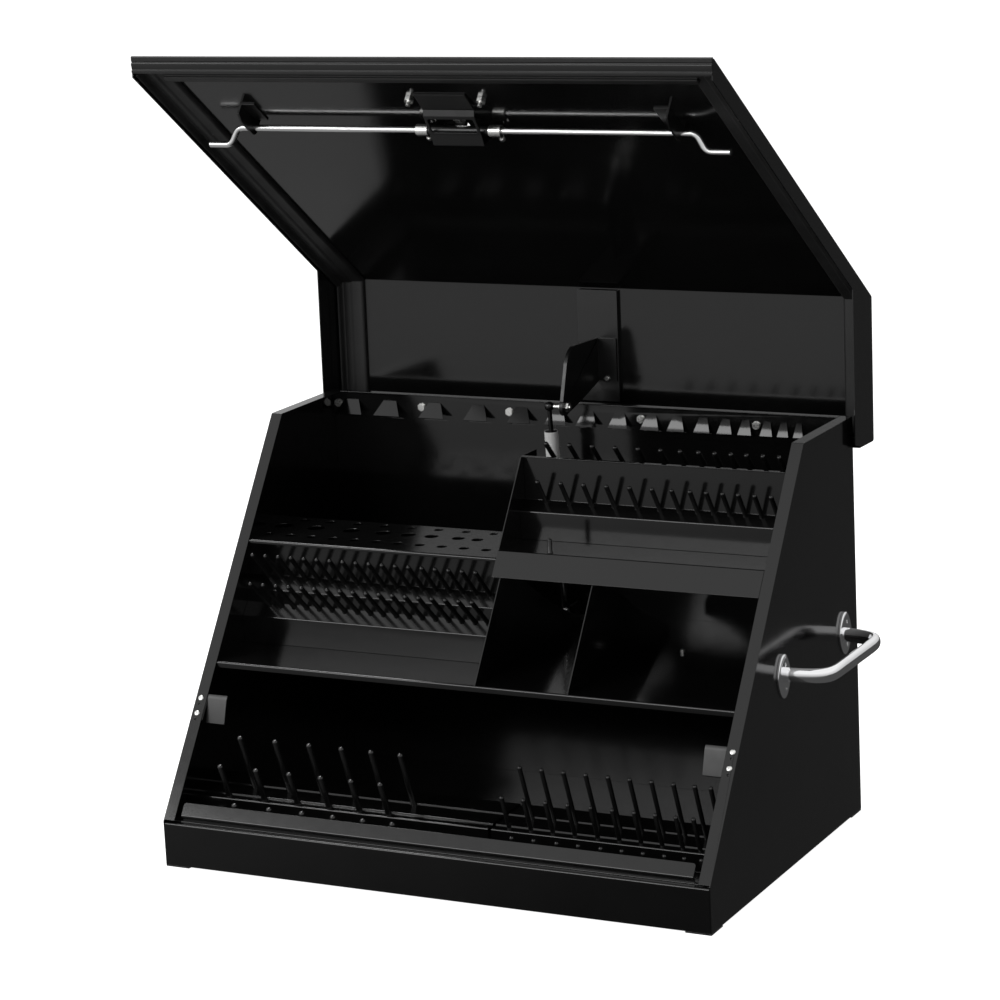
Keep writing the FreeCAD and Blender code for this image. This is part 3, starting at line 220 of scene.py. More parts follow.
def slab(name, outline, thick):
    """Plate in the XY plane from its outline, extruded up by its thickness."""
    clear()
    bpy.ops.mesh.primitive_circle_add(vertices=len(outline), radius=1, fill_type="NGON")
    piece = bpy.context.object
    piece.name = name
    for vertex, (x, y) in zip(piece.data.vertices, outline):
        vertex.co = (x, y, 0)
    edit(piece)
    bpy.ops.mesh.extrude_region_move(TRANSFORM_OT_translate={"value": (0, 0, thick)})
    leave()
    facing_out(piece)
    return piece


def copies(piece, places, name):
    """Copies of a piece at every place, joined. The piece itself goes."""
    made = []
    for place in places:
        twin = piece.copy()
        twin.data = piece.data.copy()
        bpy.context.scene.collection.objects.link(twin)
        twin.data.transform(place)
        made.append(twin)
    bpy.data.objects.remove(piece)
    return joined(made, name)


def threaded(name, start, end, radius, pitch):
    """Shaft with thread rings."""
    rings = [(start, radius * 0.8)]
    height = start + pitch / 2
    while height + pitch < end:
        rings.append((height, radius))
        rings.append((height + pitch / 2, radius * 0.86))
        height += pitch
    rings.append((end, radius * 0.86))
    return turned(name, rings, 16)


def hex_nut(name, start, end, half_across):
    """Hexagonal nut or head with its corners chamfered."""
    corner = half_across / math.cos(math.pi / 6)
    nut = turned(name, [(start, corner), (end, corner)], 6)
    round_edges(nut, 0.35 * MM, 2, 20)
    return nut


def oval_bar(points, half, name):
    """Smooth bar along control points, with an oval section, as a mesh."""
    data = bpy.data.curves.new(name, "CURVE")
    data.dimensions = "3D"
    spline = data.splines.new("NURBS")
    spline.points.add(len(points) - 1)
    for target, point in zip(spline.points, points):
        target.co = (*point, 1.0)
    spline.order_u = 4
    spline.use_endpoint_u = True
    spline.resolution_u = 8
    data.use_fill_caps = True
    data.twist_mode = "Z_UP"
    clear()
    bpy.ops.curve.primitive_bezier_circle_add(radius=1)
    section = bpy.context.object
    section.data.transform(Matrix.Diagonal((*half, 1, 1)))
    section.data.resolution_u = 6
    data.bevel_mode = "OBJECT"
    data.bevel_object = section
    bar = bpy.data.objects.new(name, data)
    bpy.context.scene.collection.objects.link(bar)
    activate(bar)
    bpy.ops.object.convert(target="MESH")
    bar = bpy.context.object
    bpy.data.objects.remove(section)
    facing_out(bar)
    return bar


def islands(node):
    """Vertices of each loose part of a CAD node, as arrays."""
    mesh = bmesh.new()
    mesh.from_mesh(NODES[node].data)
    bmesh.ops.remove_doubles(mesh, verts=mesh.verts, dist=MERGE)
    seen = set()
    found = []
    for first in mesh.verts:
        if first in seen:
            continue
        seen.add(first)
        stack = [first]
        part = []
        while stack:
            vertex = stack.pop()
            part.append(tuple(vertex.co))
            for edge in vertex.link_edges:
                other = edge.other_vert(vertex)
                if other not in seen:
                    seen.add(other)
                    stack.append(other)
        found.append(np.array(part))
    mesh.free()
    return found


def line_of(points):
    """Lower end, upper end and radius of a long round part."""
    middle = points.mean(axis=0)
    axis = np.linalg.svd(points - middle, full_matrices=False)[2][0]
    if axis[2] < 0:
        axis = -axis
    along = (points - middle) @ axis
    off = points - middle - np.outer(along, axis)
    return (Vector(middle + axis * along.min()), Vector(middle + axis * along.max()),
            float(np.linalg.norm(off, axis=1).max()))


def middle_of(points):
    return Vector((points.min(axis=0) + points.max(axis=0)) / 2)


# Materials

def noise(tree, place, scale, detail=2.0, roughness=0.5):
    node = tree.nodes.new("ShaderNodeTexNoise")
    node.inputs["Scale"].default_value = scale
    node.inputs["Detail"].default_value = detail
    node.inputs["Roughness"].default_value = roughness
    tree.links.new(place, node.inputs["Vector"])
    return node.outputs["Fac"]


def between(tree, value, low, high, start=0.3, end=0.7):
    """Map a value from the range start to end onto low to high."""
    node = tree.nodes.new("ShaderNodeMapRange")
    node.inputs["From Min"].default_value = start
    node.inputs["From Max"].default_value = end
    node.inputs["To Min"].default_value = low
    node.inputs["To Max"].default_value = high
    tree.links.new(value, node.inputs["Value"])
    return node.outputs["Result"]


def tint(tree, value, dark, light):
    """Colour between two by a value."""
    node = tree.nodes.new("ShaderNodeMix")
    node.data_type = "RGBA"
    node.inputs["A"].default_value = (*dark, 1)
    node.inputs["B"].default_value = (*light, 1)
    tree.links.new(value, node.inputs["Factor"])
    return node.outputs["Result"]


def bump(tree, height, depth, after=None, strength=1.0):
    node = tree.nodes.new("ShaderNodeBump")
    node.inputs["Strength"].default_value = strength
    node.inputs["Distance"].default_value = depth
    tree.links.new(height, node.inputs["Height"])
    if after is not None:
        tree.links.new(after, node.inputs["Normal"])
    return node.outputs["Normal"]


def stretched(tree, place, scale):
    node = tree.nodes.new("ShaderNodeMapping")
    node.inputs["Scale"].default_value = scale
    tree.links.new(place, node.inputs["Vector"])
    return node.outputs["Vector"]


def blank(name):
    """New material with its shader and its object coordinates."""
    made = bpy.data.materials.new(name)
    made.use_nodes = True
    tree = made.node_tree
    shader = tree.nodes["Principled BSDF"]
    place = tree.nodes.new("ShaderNodeTexCoord").outputs["Object"]
    return made, tree, shader, place


def shade(colour, share):
    return tuple(min(1.0, c * share) for c in colour)


def powder_coat(name, colour, roughness, peel=1.0):
    """Baked paint: orange peel, a little dust in the colour, uneven gloss, slightly wavy sheet."""
    made, tree, shader, place = blank(name)
    cloud = noise(tree, place, 9.0, 4.0, 0.6)
    dusty = tint(tree, between(tree, cloud, 0.0, 1.0), shade(colour, 0.8), shade(colour, 1.3))
    tree.links.new(dusty, shader.inputs["Base Color"])
    gloss = noise(tree, place, 60.0, 3.0, 0.6)
    uneven = between(tree, gloss, roughness * 0.88, roughness * 1.14)
    tree.links.new(uneven, shader.inputs["Roughness"])
    wave = bump(tree, noise(tree, place, 7.0, 1.0), 0.35 * MM, strength=0.5)
    skin = bump(tree, noise(tree, place, 520.0, 2.0, 0.55), 0.022 * MM * peel, wave, 0.6)
    tree.links.new(skin, shader.inputs["Normal"])
    return made


def plated(name, colour, roughness, grain=(40.0, 40.0, 40.0), depth=0.01):
    """Bright metal with faint handling marks and a fine grain."""
    made, tree, shader, place = blank(name)
    shader.inputs["Metallic"].default_value = 1.0
    cloud = noise(tree, place, 14.0, 3.0)
    tree.links.new(tint(tree, between(tree, cloud, 0.0, 1.0), shade(colour, 0.92), colour),
                   shader.inputs["Base Color"])
    lines = noise(tree, stretched(tree, place, grain), 30.0, 3.0, 0.6)
    uneven = between(tree, lines, roughness * 0.75, roughness * 1.35)
    tree.links.new(uneven, shader.inputs["Roughness"])
    tree.links.new(bump(tree, lines, depth * MM, strength=0.5), shader.inputs["Normal"])
    return made


def rubber(name, colour):
    """Moulded foam rubber, matt with a fine skin."""
    made, tree, shader, place = blank(name)
    cloud = noise(tree, place, 30.0, 4.0)
    dusty = tint(tree, between(tree, cloud, 0.0, 1.0), shade(colour, 0.7), shade(colour, 1.5))
    tree.links.new(dusty, shader.inputs["Base Color"])
    pores = noise(tree, place, 900.0, 2.0)
    tree.links.new(between(tree, pores, 0.48, 0.62), shader.inputs["Roughness"])
    tree.links.new(bump(tree, pores, 0.04 * MM, strength=0.7), shader.inputs["Normal"])
    return made


def bare_sheet(name, colour):
    """Plain white band with a faint paper grain."""
    made, tree, shader, place = blank(name)
    fibre = noise(tree, place, 700.0, 3.0)
    tree.links.new(tint(tree, between(tree, fibre, 0.0, 1.0), shade(colour, 0.95), colour),
                   shader.inputs["Base Color"])
    tree.links.new(between(tree, fibre, 0.5, 0.65), shader.inputs["Roughness"])
    tree.links.new(bump(tree, fibre, 0.01 * MM), shader.inputs["Normal"])
    return made


MADE = {}


def material(slot):
    """The material of a slot, made the first time that it is asked for."""
    if slot not in MADE:
        MADE[slot] = made_for(slot)
    return MADE[slot]


def made_for(slot):
    """New material of a slot of the record."""
    look = bpy.context.scene.toolbox_looks
    paint = tuple(look.paint_colour)
    if slot in ("case_paint", "lid_paint"):
        return powder_coat(slot, paint, look.paint_roughness)
    if slot == "rack_paint":
        return powder_coat(slot, paint, look.paint_roughness * 1.05)
    if slot == "pin_black":
        return powder_coat(slot, paint, 0.22, 0.5)
    if slot == "hardware_black":
        return powder_coat(slot, paint, 0.34, 0.6)
    if slot == "strut_paint":
        return powder_coat(slot, paint, 0.18, 0.3)
    if slot == "seal_rubber":
        return rubber(slot, tuple(look.rubber_colour))
    if slot == "bare_band":
        return bare_sheet(slot, tuple(look.band_colour))
    if slot == "chrome":
        return plated(slot, tuple(look.chrome_colour), 0.09, depth=0.004)
    if slot == "steel_rod":
        return plated(slot, (0.86, 0.86, 0.86), 0.2, (1.0, 60.0, 60.0))
    if slot == "zinc":
        return plated(slot, (0.8, 0.8, 0.78), 0.26)
    raise RuntimeError("no material is known for slot " + slot)


# Settings

class ToolboxSizes(bpy.types.PropertyGroup):
    sheet_round: bpy.props.FloatProperty(
        name="Sheet edge", description="Rounding of the sheet metal's cut edges",
        default=0.45 * MM, min=0.05 * MM, max=0.7 * MM, precision=5, unit="LENGTH",
        subtype="DISTANCE")
    hook_round: bpy.props.FloatProperty(
        name="Hook edge", description="Rounding of the stamped hooks",
        default=0.7 * MM, min=0.1 * MM, max=1.0 * MM, precision=5, unit="LENGTH",
        subtype="DISTANCE")
    fine_round: bpy.props.FloatProperty(
        name="Hardware edge", description="Rounding of machined hardware",
        default=0.3 * MM, min=0.05 * MM, max=0.6 * MM, precision=5, unit="LENGTH",
        subtype="DISTANCE")
    pin_sides: bpy.props.IntProperty(
        name="Pin sides", description="Sides of each pin and post", default=20, min=8, max=48)


class ToolboxLooks(bpy.types.PropertyGroup):
    paint_colour: bpy.props.FloatVectorProperty(
        name="Paint", description="Colour of the baked paint", default=(0.004, 0.004, 0.004),
        min=0, max=1, subtype="COLOR")
    paint_roughness: bpy.props.FloatProperty(
        name="Paint roughness", description="How matt the baked paint is", default=0.12,
        min=0, max=1, subtype="FACTOR")
    rubber_colour: bpy.props.FloatVectorProperty(
        name="Rubber", description="Colour of the seals", default=(0.01, 0.01, 0.01),
        min=0, max=1, subtype="COLOR")
    chrome_colour: bpy.props.FloatVectorProperty(
        name="Chrome", description="Colour of the handles' plating", default=(0.9, 0.9, 0.91),
        min=0, max=1, subtype="COLOR")
    band_colour: bpy.props.FloatVectorProperty(
        name="Band", description="Colour of the bare band on the strut", default=(0.86, 0.86, 0.85),
        min=0, max=1, subtype="COLOR")


class ToolboxStage(bpy.types.PropertyGroup):
    floor_colour: bpy.props.FloatVectorProperty(
        name="Floor", description="Colour of the floor", default=(0.8, 0.8, 0.8),
        min=0, max=1, subtype="COLOR")
    key_power: bpy.props.FloatProperty(
        name="Key lamp", description="Power of the lamp overhead", default=60.0, min=0,
        unit="POWER")
    edge_power: bpy.props.FloatProperty(
        name="Edge lamp", description="Power of the lamp that draws the edges", default=38.0, min=0,
        unit="POWER")
    sky: bpy.props.FloatProperty(
        name="Sky", description="Brightness of the studio round the object", default=0.3, min=0)
    focal: bpy.props.FloatProperty(
        name="Focal length", description="Lens of the camera", default=120.9, min=10, unit="CAMERA")


# Case

class TOOLBOX_OT_case(bpy.types.Operator):
    """Rounds and paints the sheets of the case and its corner feet"""
    bl_idname = "toolbox.case"
    bl_label = "Case Sheets"

    def execute(self, context):
        width = context.scene.toolbox_sizes.sheet_round
        for node in ("side_panel_left", "side_panel_right", "back_panel", "floor_pan", "front_lip",
                     "corner_feet"):
            soften(node, width)
        return {"FINISHED"}


class TOOLBOX_OT_hook_rail(bpy.types.Operator):
    """Rounds the stamped hooks of the rail along the back"""
    bl_idname = "toolbox.hook_rail"
    bl_label = "Hook Rail"

    def execute(self, context):
        soften("hook_rail", context.scene.toolbox_sizes.hook_round, clamp=True)
        return {"FINISHED"}


class TOOLBOX_OT_shelves(bpy.types.Operator):
    """Rounds and paints the shelves, the tray and the dividers"""
    bl_idname = "toolbox.shelves"
    bl_label = "Shelves and Tray"

    def execute(self, context):
        width = context.scene.toolbox_sizes.sheet_round
        for node in ("mid_shelf", "shelf_left", "tray_right", "divider_left", "divider_right"):
            soften(node, width)
        soften("shelf_screws", context.scene.toolbox_sizes.fine_round)
        return {"FINISHED"}


class TOOLBOX_OT_racks(bpy.types.Operator):
    """Rounds and paints the racks that the pins and posts stand on"""
    bl_idname = "toolbox.racks"
    bl_label = "Racks"

    def execute(self, context):
        width = context.scene.toolbox_sizes.sheet_round
        for node in ("wrench_rack_left", "wrench_rack_right_front", "wrench_rack_right_back",
                     "socket_rack_left", "socket_rack_right"):
            soften(node, width)
        return {"FINISHED"}


class TOOLBOX_OT_wrench_pins(bpy.types.Operator):
    """Models one wrench pin with its weld ring and domed end, and sets it at every place"""
    bl_idname = "toolbox.wrench_pins"
    bl_label = "Wrench Pins"

    def execute(self, context):
        sides = context.scene.toolbox_sizes.pin_sides
        for node in ("wrench_pins_left", "wrench_pins_right"):
            pieces = []
            rows = {}
            for points in islands(node):
                start, end, radius = line_of(points)
                row_length = round((end - start).length * 1000, 1)
                rows.setdefault(row_length, []).append((start, end, radius))
            for lines in rows.values():
                long = (lines[0][1] - lines[0][0]).length
                radius = lines[0][2]
                rings = [(-0.6 * MM, radius + 1.0 * MM), (0.5 * MM, radius + 0.8 * MM)]
                rings += domed(1.4 * MM, long, radius)
                pin = turned("pin", rings, sides)
                places = [aim(start, end) for start, end, _ in lines]
                pieces.append(copies(pin, places, node + "_row"))
            row = joined(pieces, node + "_finished")
            smooth(row, 45)
            finish(row, node)
        return {"FINISHED"}


class TOOLBOX_OT_socket_posts(bpy.types.Operator):
    """Models one socket post for each row with its chamfered nose, and the peg in the tray"""
    bl_idname = "toolbox.socket_posts"
    bl_label = "Socket Posts"

    def execute(self, context):
        sides = context.scene.toolbox_sizes.pin_sides
        for node in ("socket_posts_left", "socket_posts_right", "tray_peg"):
            pieces = []
            for points in islands(node):
                start, end, radius = line_of(points)
                long = (end - start).length
                rings = [(0.0, radius + 0.7 * MM), (1.2 * MM, radius + 0.5 * MM),
                         (2.0 * MM, radius), (long - 0.62 * radius, radius),
                         (long - 0.5 * radius, radius * 0.95),
                         (long - 0.06 * radius, radius * 0.6), (long, radius * 0.5)]
                post = turned("post", rings, sides)
                pieces.append(copies(post, [aim(start, end)], "post_placed"))
            row = joined(pieces, node + "_finished")
            smooth(row, 32)
            finish(row, node)
        return {"FINISHED"}


# Handles and keepers

class TOOLBOX_OT_handles(bpy.types.Operator):
    """Models the bow handles, their pointed end plates and their screws"""
    bl_idname = "toolbox.handles"
    bl_label = "Bow Handles"

    GRIP = (7.0 * MM, 9.5 * MM)

    def execute(self, context):
        for side, sign in (("right", 1), ("left", -1)):
            self.bow("handle_bow_" + side, sign)
            self.feet("handle_feet_" + side, sign)
        self.screws("handle_screws")
        return {"FINISHED"}

    def bow(self, node, sign):
        low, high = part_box(node)
        z = (low.z + high.z) / 2
        root = low.x if sign > 0 else high.x
        reach = (high.x if sign > 0 else low.x) - sign * self.GRIP[0]
        y0, y1 = low.y + self.GRIP[1], high.y - self.GRIP[1]
        deep = reach - root
        bend = ((root, 0), (root + 0.35 * deep, 1.5), (root + 0.72 * deep, 5), (reach, 17),
                (reach, 48))
        line = [(x, y0 + along * MM, z) for x, along in bend]
        line.append((reach, (y0 + y1) / 2, z))
        line += [(x, y1 - along * MM, z) for x, along in reversed(bend)]
        bar = oval_bar(line, self.GRIP, node + "_finished")
        smooth(bar, 60)
        finish(bar, node)

    def feet(self, node, sign):
        plates = []
        for points in islands(node):
            low, high = Vector(points.min(axis=0)), Vector(points.max(axis=0))
            half_y, half_z = (high.y - low.y) / 2, (high.z - low.z) / 2
            thick = high.x - low.x
            outline = []
            for k in range(40):
                a = 2 * math.pi * k / 40
                c, s = math.cos(a), math.sin(a)
                pinch = 1 - 0.24 * abs(s) ** 1.2 * abs(c) ** 0.6
                outline.append((half_y * c * pinch, half_z * s))
            plate = slab("plate", outline, thick)
            edit(plate)
            bpy.ops.mesh.select_all(action="DESELECT")
            bpy.ops.object.mode_set(mode="OBJECT")
            for face in plate.data.polygons:
                face.select = face.normal.z > 0.9
            bpy.ops.object.mode_set(mode="EDIT")
            bpy.ops.mesh.inset(thickness=2.2 * MM)
            bpy.ops.transform.translate(value=(0, 0, 1.0 * MM))
            bpy.ops.mesh.inset(thickness=4.0 * MM)
            bpy.ops.transform.translate(value=(0, 0, 0.9 * MM))
            leave()
            turn = Matrix(((0, 0, sign), (1, 0, 0), (0, 1, 0))).to_4x4()
            root = low.x if sign > 0 else high.x
            centre = Vector((root, (low.y + high.y) / 2, (low.z + high.z) / 2))
            place_mesh(plate, Matrix.Translation(centre) @ turn)
            facing_out(plate)
            plates.append(plate)
        piece = joined(plates, node + "_finished")
        round_edges(piece, 0.5 * MM, 2, 40)
        finish(piece, node)

    def screws(self, node):
        """Oval heads with a cross recess outside, nuts on their threads inside."""
        places = []
        for points in islands(node):
            low, high = Vector(points.min(axis=0)), Vector(points.max(axis=0))
            y, z = (low.y + high.y) / 2, (low.z + high.z) / 2
            sign = 1 if low.x > 0 else -1
            outer = high.x if sign > 0 else low.x
            inner = low.x if sign > 0 else high.x
            places.append((sign, Vector((outer, y, z)), Vector((inner, y, z))))
        long = abs(places[0][1].x - places[0][2].x)
        head = turned("head", [(long - 2.6 * MM, 4.4 * MM), (long - 1.8 * MM, 4.3 * MM),
                               (long - 0.9 * MM, 3.7 * MM), (long - 0.2 * MM, 2.2 * MM),
                               (long, 0.6 * MM)], 24)
        cross = []
        for k in range(2):
            clear()
            bpy.ops.mesh.primitive_cube_add(size=1)
            bar = bpy.context.object
            size = (4.6 * MM, 0.9 * MM, 3.0 * MM) if k == 0 else (0.9 * MM, 4.6 * MM, 3.0 * MM)
            bar.data.transform(Matrix.Translation((0, 0, long)) @ Matrix.Diagonal((*size, 1)))
            cross.append(bar)
        for bar in cross:
            apply(head, "BOOLEAN", operation="DIFFERENCE", object=bar, solver="EXACT")
            bpy.data.objects.remove(bar)
        shaft = threaded("shaft", 0.0, long - 2.0 * MM, 2.5 * MM, 0.8 * MM)
        nut = hex_nut("nut", 2.0 * MM, 6.0 * MM, 4.4 * MM)
        one = joined([head, shaft, nut], "handle_screw")
        shapes = [aim(inner, outer) for _, outer, inner in places]
        piece = copies(one, shapes, node + "_finished")
        smooth(piece, 35)
        finish(piece, node)


class TOOLBOX_OT_keepers(bpy.types.Operator):
    """Models the keepers with their ramps, and the rivets that hold them"""
    bl_idname = "toolbox.keepers"
    bl_label = "Keepers"

    PLATE = 2.4 * MM
    TAB_WIDE = 14.6 * MM
    BAND = 6.0 * MM

    def execute(self, context):
        for side, sign in (("right", 1), ("left", -1)):
            self.keeper("keeper_" + side, sign)
        self.rivets("keeper_rivets")
        return {"FINISHED"}

    def keeper(self, node, sign):
        """Tab under the flange, a band along the slope and a ramp that leads inwards."""
        points = np.array([tuple(v.co) for v in NODES[node].data.vertices])
        xs = np.abs(points[:, 0])
        s = points @ np.array(UP_SLOPE)
        off = points @ np.array(OFF_SLOPE)
        x0, x1, s0, s1 = xs.min(), xs.max(), s.min(), s.max()
        top, low = off.max(), off.min()
        thick = self.PLATE
        ramp_x = x1 - self.TAB_WIDE
        knee = s1 - self.BAND
        ramp = [(s1, top), (knee, top), (s0, low + thick), (s0, low),
                (knee + 0.6 * MM, top - thick), (s1, top - thick)]
        tab = [(s1, top), (s0, top), (s0, top - thick), (s1, top - thick)]
        shapes = []
        for outline, a, b in ((ramp, x0, ramp_x), (tab, ramp_x - 0.4 * MM, x1)):
            plate = slab("keeper_plate", outline, b - a)
            turn = Matrix((UP_SLOPE, OFF_SLOPE, Vector((1, 0, 0)))).transposed().to_4x4()
            mirror = Matrix.Diagonal((sign, 1, 1, 1))
            place_mesh(plate, mirror @ Matrix.Translation((a, 0, 0)) @ turn)
            facing_out(plate)
            shapes.append(plate)
        piece = joined(shapes, node + "_finished")
        round_edges(piece, 0.35 * MM)
        finish(piece, node)

    def rivets(self, node):
        """Round heads with a small dimple."""
        places = []
        for points in islands(node):
            off = points @ np.array(OFF_SLOPE)
            head = Vector(points[off > off.max() - 0.05 * MM].mean(axis=0))
            places.append(aim(head, head + OFF_SLOPE))
        rings = ((-5.0, 2.0), (-0.2, 2.0), (-0.2, 3.9), (0.3, 3.8), (0.9, 3.1), (1.15, 1.9),
                 (1.15, 1.1), (0.5, 0.8))
        one = turned("rivet", [(height * MM, radius * MM) for height, radius in rings], 24)
        piece = copies(one, places, node + "_finished")
        smooth(piece, 40)
        finish(piece, node)


# Hinge

class TOOLBOX_OT_hinge(bpy.types.Operator):
    """Rounds the hinge's leaves, and models its pin and its bolts"""
    bl_idname = "toolbox.hinge"
    bl_label = "Piano Hinge"

    def execute(self, context):
        fine = context.scene.toolbox_sizes.fine_round
        for node in ("hinge_body_leaf", "hinge_lid_leaf"):
            soften(node, fine)
        low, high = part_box("hinge_pin")
        radius = (high.z - low.z) / 2
        y, z = (low.y + high.y) / 2, (low.z + high.z) / 2
        long = high.x - low.x
        rings = [(0.0, radius * 0.7), (0.6 * MM, radius), (long - 0.6 * MM, radius),
                 (long, radius * 0.7)]
        pin = turned("pin", rings, 28)
        piece = copies(pin, [aim((low.x, y, z), (high.x, y, z))], "hinge_pin_finished")
        smooth(piece, 40)
        finish(piece, "hinge_pin")
        self.bolts("hinge_bolts")
        return {"FINISHED"}

    def bolts(self, node):
        places = []
        for points in islands(node):
            low, high = Vector(points.min(axis=0)), Vector(points.max(axis=0))
            x, z = (low.x + high.x) / 2, (low.z + high.z) / 2
            places.append((Vector((x, low.y, z)), Vector((x, high.y, z))))
        long = (places[0][1] - places[0][0]).length
        head = hex_nut("head", 0.0, 3.2 * MM, 4.9 * MM)
        rings = [(3.0 * MM, 5.6 * MM), (3.9 * MM, 5.9 * MM), (4.0 * MM, 5.9 * MM)]
        collar = turned("collar", rings, 28)
        shaft = threaded("shaft", 3.9 * MM, long, 3.1 * MM, 1.0 * MM)
        nut = hex_nut("nut", long - 4.0 * MM, long - 0.9 * MM, 4.0 * MM)
        one = joined([head, collar, shaft, nut], "hinge_bolt")
        piece = copies(one, [aim(a, b) for a, b in places], node + "_finished")
        smooth(piece, 35)
        finish(piece, node)


# Lid

class TOOLBOX_OT_lid(bpy.types.Operator):
    """Rounds and paints the lid's shell, its channel and the gooseneck bracket"""
    bl_idname = "toolbox.lid"
    bl_label = "Lid"

    def execute(self, context):
        sizes = context.scene.toolbox_sizes
        soften("lid_shell", sizes.sheet_round, clamp=True)
        for node in ("hat_channel", "gooseneck_bracket", "lid_fasteners"):
            soften(node, sizes.fine_round)
        return {"FINISHED"}


class TOOLBOX_OT_front_trim(bpy.types.Operator):
    """Models the pressed ribs along the front hem of the lid"""
    bl_idname = "toolbox.front_trim"
    bl_label = "Front Hem Ribs"

    # From the lowest front corner back to the top of the hem, then the ribs' (down, out), in mm
    HEM = 28.1
    RIBS = ((1.6, -3.0), (1.6, 0.6), (2.6, 1.2), (7.4, 1.3), (8.2, 0.3), (9.2, 0.3), (9.9, 1.7),
            (12.4, 1.9), (17.6, 0.35), (18.4, 0.35), (19.0, 1.3), (21.6, 1.3), (22.1, 0.8),
            (22.1, -0.6))

    def execute(self, context):
        points = np.array([tuple(v.co) for v in NODES["lid_shell"].data.vertices])
        front = points[points[:, 1] < points[:, 1].min() + 0.1 * MM]
        corner = Vector((0, front[:, 1].min(), front[:, 2].min())) - TO_HINGE * self.HEM * MM
        half = points[:, 0].max() - 0.2 * MM
        outline = [(out * MM, down * MM) for down, out in self.RIBS]
        strip = slab("ribs", outline, 2 * half)
        turn = Matrix((TOP_IN, TO_HINGE, Vector((1, 0, 0)))).transposed().to_4x4()
        place_mesh(strip, Matrix.Translation(corner - Vector((half, 0, 0))) @ turn)
        facing_out(strip)
        strip.name = "lid_front_ribs"
        round_edges(strip, 0.25 * MM, 2, 25)
        finish(strip, body=BODY_OF["lid_shell"], slot=SLOT_OF["lid_shell"])
        return {"FINISHED"}


class TOOLBOX_OT_seals(bpy.types.Operator):
    """Models the foam seals inside the lid: side seals with a bead and a lip against the wall"""
    bl_idname = "toolbox.seals"
    bl_label = "Seals"

    # Section of a side seal as (x, height off the sheet), in mm
    PROFILE = ((388.3, 0.0), (388.3, 16.4), (387.6, 17.9), (386.2, 18.5), (384.9, 17.8),
               (384.0, 15.6), (383.2, 10.4), (382.0, 8.8), (381.2, 8.6), (380.4, 8.7),
               (378.6, 8.8), (373.2, 8.8), (371.4, 8.2), (370.0, 7.2), (368.2, 6.2),
               (357.0, 6.0), (354.0, 4.9), (353.0, 2.4), (352.8, 0.0))
    SHORT_OF_HEM = 8 * MM
    PAST_BEND = 30 * MM

    def execute(self, context):
        for side, sign in (("right", 1), ("left", -1)):
            self.side_seal("seal_" + side, sign)
        for node in ("seal_front", "seal_rear"):
            soften(node, 1.6 * MM, 4, 60)
        return {"FINISHED"}

    def side_seal(self, node, sign):
        """Both runs of a side seal, cut to a mitre where the lid bends."""
        runs = []
        for points in islands(node):
            if np.ptp(points @ np.array(PANEL_IN)) < np.ptp(points @ np.array(TOP_IN)):
                runs.append((points, TO_FRONT, PANEL_IN))
            else:
                runs.append((points, TO_HINGE, TOP_IN))
        runs.sort(key=lambda run: run[1].z)
        (top, hinge_way, top_in), (panel, front_way, panel_in) = runs
        face_top = (top @ np.array(top_in)).min()
        face_panel = (panel @ np.array(panel_in)).min()
        sides = Matrix(((top_in.y, top_in.z), (panel_in.y, panel_in.z)))
        bend = Vector((0, *(sides.inverted() @ Vector((face_top, face_panel)))))
        mitre = (front_way - hinge_way).normalized()
        made = []
        for points, way, inward in runs:
            far = (points @ np.array(way)).max() - (self.SHORT_OF_HEM if way == front_way else 0)
            near = bend.dot(way) - self.PAST_BEND
            outline = [(sign * x * MM, high * MM) for x, high in self.PROFILE]
            run = slab("run", outline, far - near)
            turn = Matrix((Vector((1, 0, 0)), inward, way)).transposed().to_4x4()
            base = bend + way * (near - bend.dot(way))
            place_mesh(run, Matrix.Translation(base) @ turn)
            facing_out(run)
            edit(run)
            bpy.ops.mesh.bisect(plane_co=bend, plane_no=mitre if way == front_way else -mitre,
                                use_fill=True, clear_inner=True)
            leave()
            facing_out(run)
            made.append(run)
        seal = joined(made, node + "_finished")
        smooth(seal, 50)
        finish(seal, node)


# Gas strut

class TOOLBOX_OT_strut(bpy.types.Operator):
    """Models the gas strut: tube, rod, end fittings and the bare band"""
    bl_idname = "toolbox.strut"
    bl_label = "Gas Strut"

    def execute(self, context):
        fine = context.scene.toolbox_sizes.fine_round
        start, end, radius = line_of(np.vstack(islands("strut_cylinder")))
        long = (end - start).length
        rings = [(0.0, 4.1 * MM), (0.0, radius - 1.8 * MM), (0.6 * MM, radius - 0.7 * MM),
                 (2.0 * MM, radius), (5.5 * MM, radius), (6.3 * MM, radius - 0.6 * MM),
                 (7.6 * MM, radius - 0.6 * MM), (8.4 * MM, radius), (long - 3.0 * MM, radius),
                 (long - 1.2 * MM, radius - 0.8 * MM), (long - 0.2 * MM, radius - 2.4 * MM),
                 (long, radius - 3.4 * MM)]
        tube = copies(turned("tube", rings, 40), [aim(start, end)], "strut_cylinder_finished")
        smooth(tube, 40)
        finish(tube, "strut_cylinder")
        for node in ("strut_rod", "strut_band", "strut_end_fitting", "strut_ball_stud",
                     "strut_lower_bracket"):
            soften(node, fine, 2, 40)
        return {"FINISHED"}


# Latch

class TOOLBOX_OT_latch(bpy.types.Operator):
    """Rounds the latch rods, their collars, guides, strap and outer plate"""
    bl_idname = "toolbox.latch"
    bl_label = "Rod Latch"

    def execute(self, context):
        sizes = context.scene.toolbox_sizes
        for node in ("latch_rod_left", "latch_rod_right", "rod_guide_left", "rod_guide_right",
                     "latch_strap", "latch_plate", "latch_bolts"):
            soften(node, sizes.fine_round, 2, 40)
        soften("latch_couplings", sizes.fine_round, 2, 40, slot="zinc")
        return {"FINISHED"}


